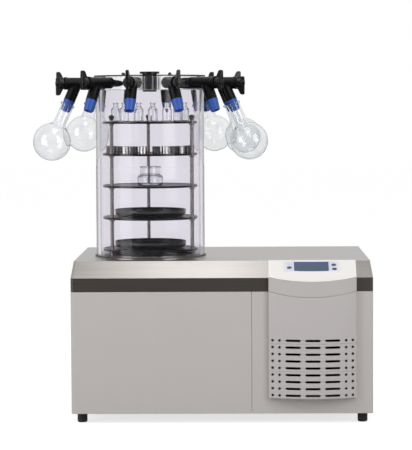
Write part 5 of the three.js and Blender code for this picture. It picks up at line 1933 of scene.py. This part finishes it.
@dataclass
class Manifold:
    """The ring of twelve valves and the flasks that hang on some of them.

    `leans` turns some branches aside, in degrees. `flasks` gives, for each valve with a flask,
    the distance from the flask's lip to its bulb's middle. `shoulder` is how far a neck stands
    out at each height over its bulb.
    """

    bench: Bench
    valve: Valve
    count: int = 12
    levers_down: tuple[int, ...] = (1, 6)
    leans: dict[int, float] = field(default_factory=lambda: {4: 6.0, 11: -6.0})
    flasks: dict[int, float] = field(
        default_factory=lambda: {1: 0.108, 6: 0.1085, 7: 0.0975, 8: 0.0905, 11: 0.0905}
    )
    bulb: float = 0.050
    glass: float = 0.002
    neck: float = 0.0166
    flare: float = 0.006
    shoulder: Outline = ((0.0028, 0.004), (0.0010, 0.009), (0, 0.016))
    lip: float = 0.0195
    lip_height: float = 0.004
    soft: float = 0.001

    def holder(self, number: int) -> Matrix:
        """A valve's own frame: X outwards along its barrel, Z up, origin at the lid's rim.

        Args:
            number: The valve's number, from 1.

        Returns:
            The frame's matrix.
        """
        name = f"valve_lever_{number:02d}_turn"
        joint = next(joint for joint in frame["joints"] if joint["name"] == name)
        out = Vector(joint["axis"]).normalized()
        side = Vector((0, 0, 1)).cross(out)
        turn = Matrix((out, side, Vector((0, 0, 1)))).transposed().to_4x4()
        return Matrix.Translation(Vector(joint["pos_m"]) - out * self.valve.barrel) @ turn

    def leant(self, number: int) -> Matrix:
        """A valve's frame, turned about its barrel as far as its branch leans."""
        lean = math.radians(self.leans.get(number, 0.0))
        return self.holder(number) @ Matrix.Rotation(lean, 4, "X")

    def build(self) -> None:
        """Builds every valve and flask."""
        body, cone, plug = self.valve.body_form(), self.valve.cone_form(), self.valve.plug_form()
        half_turn = Matrix.Rotation(math.pi, 4, "X")
        for number in range(1, self.count + 1):
            place, leant = self.holder(number), self.leant(number)
            node = f"valve_body_{number:02d}"
            black, blue = (Form().with_also(form).moved(leant) for form in (body, cone))
            self.bench.piece(f"{node}_black", black, Look.RUBBER, [node])
            self.bench.piece(f"{node}_cone", blue, Look.CONE, [node])
            turn = half_turn if number in self.levers_down else Matrix.Identity(4)
            knob = Form().with_also(plug).moved(place @ turn)
            self.bench.piece(
                f"valve_plug_{number:02d}_knob", knob, Look.BLACK, [f"valve_plug_{number:02d}"],
                body=f"valve_lever_{number:02d}",
            )
        for hung, (number, neck) in enumerate(self.flasks.items(), 1):
            form = self.flask_form(neck).moved(self.leant(number) @ self.valve.flask_place())
            self.bench.piece(f"flask_{hung}_glass", form, Look.GLASS, [f"flask_{hung}"])

    def bulb_arc(self, radius: float, neck: float, tube: float) -> list[tuple[float, float]]:
        """The bulb's outline from its lowest point up to where the neck flares out.

        Args:
            radius: The bulb's radius.
            neck: From the lip down to the bulb's middle.
            tube: The neck's radius.

        Returns:
            Its points of radius and height.
        """
        steps, lowest = 20, -math.pi / 2
        sweep = math.acos((tube + self.flare) / radius) - lowest
        angles = [lowest + sweep * n / steps for n in range(1, steps + 1)]
        return [
            (0, -neck - radius),
            *((radius * math.cos(a), -neck + radius * math.sin(a)) for a in angles),
        ]

    def flask_form(self, neck: float) -> Form:
        """A blown flask that hangs from z = 0, with a soft shoulder between its bulb and neck.

        Args:
            neck: From its lip to its bulb's middle.

        Returns:
            The closed glass wall.
        """
        tube, inner, lip, soft = self.neck, self.neck - self.glass, self.lip, self.soft
        outer = self.bulb_arc(self.bulb, neck, tube)
        hollow = self.bulb_arc(self.bulb - self.glass, neck, inner)
        seat, inner_seat, under = outer[-1][1], hollow[-1][1], -self.lip_height
        outline = [
            *outer,
            *((tube + out, seat + up) for out, up in self.shoulder),
            (tube, under - 3 * soft), (tube + 0.8 * soft, under - soft),
            (lip, under), (lip, -soft), (lip - soft, 0), (inner + soft, 0), (inner, -soft),
            *((inner + out, inner_seat + up) for out, up in reversed(self.shoulder)),
            *reversed(hollow),
        ]
        return Form.turned(outline, 72)


# ---------------------------------------------------------------- studio


@dataclass(frozen=True)
class Softbox:
    """One area lamp, aimed at the object. `radiance` is the brightness of its face."""

    name: str
    azimuth: float
    distance: float
    height: float
    size: tuple[float, float]
    radiance: float
    overhead: bool = False

    def place(self, target: Vector) -> None:
        """Puts the lamp round the target, looking level at it or straight down.

        Args:
            target: What it stands round.
        """
        lamp = bpy.data.lights.new(self.name, "AREA")
        lamp.shape = "RECTANGLE"
        lamp.size, lamp.size_y = self.size
        lamp.energy = self.radiance * self.size[0] * self.size[1] * math.pi
        item = bpy.data.objects.new(self.name, lamp)
        angle = math.radians(self.azimuth - 90)
        outwards = Vector((math.cos(angle), math.sin(angle), 0))
        item.location = target + self.distance * outwards
        item.location.z = self.height
        aim = Vector((0, 0, -1)) if self.overhead else -outwards
        item.rotation_mode = "QUATERNION"
        item.rotation_quaternion = aim.to_track_quat("-Z", "Y")
        item.visible_camera = False
        bpy.context.scene.collection.objects.link(item)


@dataclass
class Studio:
    """Camera, lamps, world and floor.

    `ambient` is the even fill on the object, and `room` the darkest that gloss mirrors. What it
    mirrors brightens towards the rear and the sky. The two cleared shares say how far a mirrored
    ray that then leaves a clear piece still meets white.
    """

    lens: float = 160.93
    stand_off: float = 5.16
    eye: float = 0.8342
    aside: float = 0.2361
    pan: float = 0.927
    tilt: float = -3.53
    roll: float = -0.297
    ambient: float = 0.44
    room: float = 0.12
    rear_slope: float = 1.6
    rear_start: float = 0.3
    rear_share: float = 0.68
    sky_slope: float = 0.9
    world_cleared: float = 0.3
    floor_cleared: float = 0.85
    floor_mirrored: float = 0.25
    floor_tone: float = 0.62
    floor_lift: float = 0.72
    floor_size: float = 40.0
    softboxes: tuple[Softbox, ...] = (
        Softbox("left_softbox", -51.0, 2.4, 1.35, (1.18, 2.2), 3.2),
        Softbox("right_softbox", 42.5, 2.4, 1.52, (1.13, 1.96), 3.2),
        Softbox("top_softbox", 10.5, 0.492, 1.75, (0.5, 0.8), 2.1, overhead=True),
    )

    def build(self, axis: Vector) -> None:
        """Sets everything up.

        Args:
            axis: A point on the drum's axis.
        """
        self.camera(axis)
        self.world()
        self.floor()
        for softbox in self.softboxes:
            softbox.place(axis)
        bpy.context.scene.view_settings.view_transform = "Standard"

    def camera(self, axis: Vector) -> None:
        """The camera, level with the lid and a little to the right of the drum.

        Args:
            axis: A point on the drum's axis.
        """
        data = bpy.data.cameras.new("camera")
        data.lens = self.lens
        data.clip_end = 200
        item = bpy.data.objects.new("camera", data)
        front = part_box("left_front_panel")[0].y
        item.location = (axis.x + self.aside, front - self.stand_off, self.eye)
        turns = (("Z", self.pan), ("X", 90 + self.tilt), ("Z", self.roll))
        pan, tilt, roll = (Matrix.Rotation(math.radians(turn), 3, about) for about, turn in turns)
        item.rotation_euler = (pan @ tilt @ roll).to_euler()
        bpy.context.scene.collection.objects.link(item)
        bpy.context.scene.camera = item

    def paths(self, recipe: Recipe, cleared: float) -> tuple[Signal, Signal]:
        """Tells a ray straight from the camera, through clear pieces too, from a mirrored one.

        Args:
            recipe: The node tree that asks.
            cleared: How far a mirrored ray that then leaves a clear piece counts as straight.

        Returns:
            How far the ray is straight, and how far it is mirrored.
        """
        path = recipe.node("ShaderNodeLightPath")
        through = recipe.signal(path, "Is Transmission Ray")
        mirrored = recipe.signal(path, "Glossy Depth").clamped() * (1 - through * cleared)
        straight = (recipe.signal(path, "Is Camera Ray") + through).clamped()
        return straight * (1 - mirrored), mirrored

    def world(self) -> None:
        """White where it is seen, a dimmer room in front for gloss to mirror, and an even fill."""
        world = bpy.data.worlds.new("studio")
        bpy.context.scene.world = world
        recipe = Recipe(world)
        seen, glossy = self.paths(recipe, self.world_cleared)
        direction = recipe.node("ShaderNodeTexCoord").outputs["Generated"]
        _, back, up = recipe.axes(direction)
        rear = (back * self.rear_slope + self.rear_start).clamped() * self.rear_share
        bright = (rear + (up * self.sky_slope).clamped()).clamped()
        mirrored = bright * (1 - self.room) + self.room
        unseen = glossy * mirrored + (1 - glossy) * self.ambient
        inputs = {0: (1, 1, 1, 1), 1: seen + (1 - seen) * unseen}
        white = recipe.node("ShaderNodeBackground", inputs=inputs).outputs[0]
        recipe.show(white, "ShaderNodeOutputWorld")

    def floor(self) -> None:
        """A pale floor that is white where it is lit and keeps the object's shadow."""
        material = bpy.data.materials.new("pale_floor")
        recipe = Recipe(material)
        seen, bounced = self.paths(recipe, self.floor_cleared)
        tone = (self.floor_tone,) * 3 + (1.0,)
        plain = recipe.node("ShaderNodeBsdfDiffuse", inputs={0: tone}).outputs[0]
        lit = {0: plain, 1: recipe.glow(seen * self.floor_lift)}
        shown = recipe.node("ShaderNodeAddShader", inputs=lit).outputs[0]
        either = {0: bounced, 1: shown, 2: recipe.glow(self.floor_mirrored)}
        recipe.show(recipe.node("ShaderNodeMixShader", inputs=either).outputs[0])
        form = Form()
        bmesh.ops.create_grid(form.bm, x_segments=1, y_segments=1, size=self.floor_size / 2)
        mesh = form.mesh("floor")
        mesh.materials.append(material)
        item = bpy.data.objects.new("floor", mesh)
        bpy.context.scene.collection.objects.link(item)


# ---------------------------------------------------------------- assembly


def finishes(module: ControlModule) -> dict[Look, Finish]:
    """Every finish of the part.

    Args:
        module: The control module, whose printed fields need their places.

    Returns:
        The finishes by look.
    """
    display_low, display_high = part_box("display_window")
    display = tuple((display_low + display_high) / 2)
    half = ((display_high.x - display_low.x) / 2, module.print_half_height)
    grille = (module.middle, module.low.y, module.low.z)
    return {
        Look.PAINT: Coated("painted_steel", "#C8C3C0", 0.42),
        Look.BAND: Brushed("dark_band", "#635E5B", "#494542", 0.42, metallic=0.65),
        Look.COVER: Brushed("brushed_cover", "#B5B1AE", "#8C8884", 0.3),
        Look.FASCIA: Fascia("fascia_white", "#F4F2EF", 0.4, centre=display, slope=module.slope()),
        Look.MOULDING: Coated("moulding_grey", "#C4C0BD", 0.46),
        Look.GRILLE: GrillePlastic(
            "grille_plastic", "#C6C1C0", 0.46, centre=grille, first_row=module.first_row,
            pitch=module.pitch, rows=module.rows, seams=module.seams,
        ),
        Look.DISPLAY: Screen("display_window", "#485886", "#4C5C5E", display, module.slope(), half),
        Look.BUTTON: Coated("button_plastic", "#3E4759", 0.4, mottle=0.02, coat=0.1),
        Look.POT: Brushed("pot_steel", "#C4C0BA", "#8E8982", 0.2, spread=0.08),
        Look.COPPER: Brushed("copper_tube", "#C08058", "#8C5636", 0.35),
        Look.RUBBER: Coated("black_rubber", "#09090B", 0.36, grain=1400.0, specular=0.18),
        Look.CONE: Coated("blue_rubber", "#2F57AE", 0.38, grain=1400.0, specular=0.4),
        # The second colour of each clear finish is its painted edge shade.
        Look.DRUM: Clear("drum_acrylic", "#EEECF1", "#9A9AA2", 0.7, 0.8, mirror=0.25),
        Look.LID: Clear("lid_acrylic", "#F0EFF1", "#6A6A72", 0.9),
        Look.SEAL: Coated("seal_rubber", "#4C4C4E", 0.45, grain=1400.0),
        Look.FOOT: Coated("foot_rubber", "#2D2C2B", 0.5, grain=1400.0),
        Look.BLACK: Coated("black_plastic", "#0D0D0F", 0.3, specular=0.32, coat=0.05),
        Look.ROD: Brushed("rack_steel", "#8F8A87", "#5C5754", 0.28),
        Look.CUP: Brushed("cup_steel", "#CFCCC8", "#A09C97", 0.14, spread=0.06),
        # A darker copy of the cups' steel, as a painted dark reflection.
        Look.DARK_REFLECTION_CUP: Coated("cup_painted_dark_reflection", "#17181D", 0.2, specular=0.6),
        Look.SHELF: Coated("shelf_black", "#0B0B0D", 0.3, specular=0.2),
        Look.TRAY: Coated("tray_black", "#0B0B0D", 0.16, specular=0.7, grain_depth=0.00001),
        # The second colour is the flasks' painted edge shade.
        Look.GLASS: Clear("flask_glass", "#F5F6F7", "#666A6E", 0.66),
        Look.ENAMEL: Coated("black_enamel", "#222224", 0.4),
        # Dark: partly the radiator's own finish, partly painted shade for the grille's slots in front of it.
        Look.RADIATOR: Brushed("radiator_metal", "#3A3C3E", "#202123", 0.45),
    }


def main() -> None:
    """Builds the dressed part and the studio round it."""
    logging.basicConfig(level=logging.INFO, format="%(message)s")
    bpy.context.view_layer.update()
    book = FinishBook()
    bench = Bench(book)
    module = ControlModule(bench)
    book.take_in(finishes(module))
    book.dress_nodes()
    drum = DryingDrum(bench)
    Studio().build(drum.axis.translation)
    Cabinet(bench).build()
    module.build()
    drum.build()
    ShelfRack(bench, drum.axis).build()
    Manifold(bench, Valve()).build()
    logger.info("%d pieces", bench.count)
    bpy.context.view_layer.update()


if __name__ == "__main__":
    main()
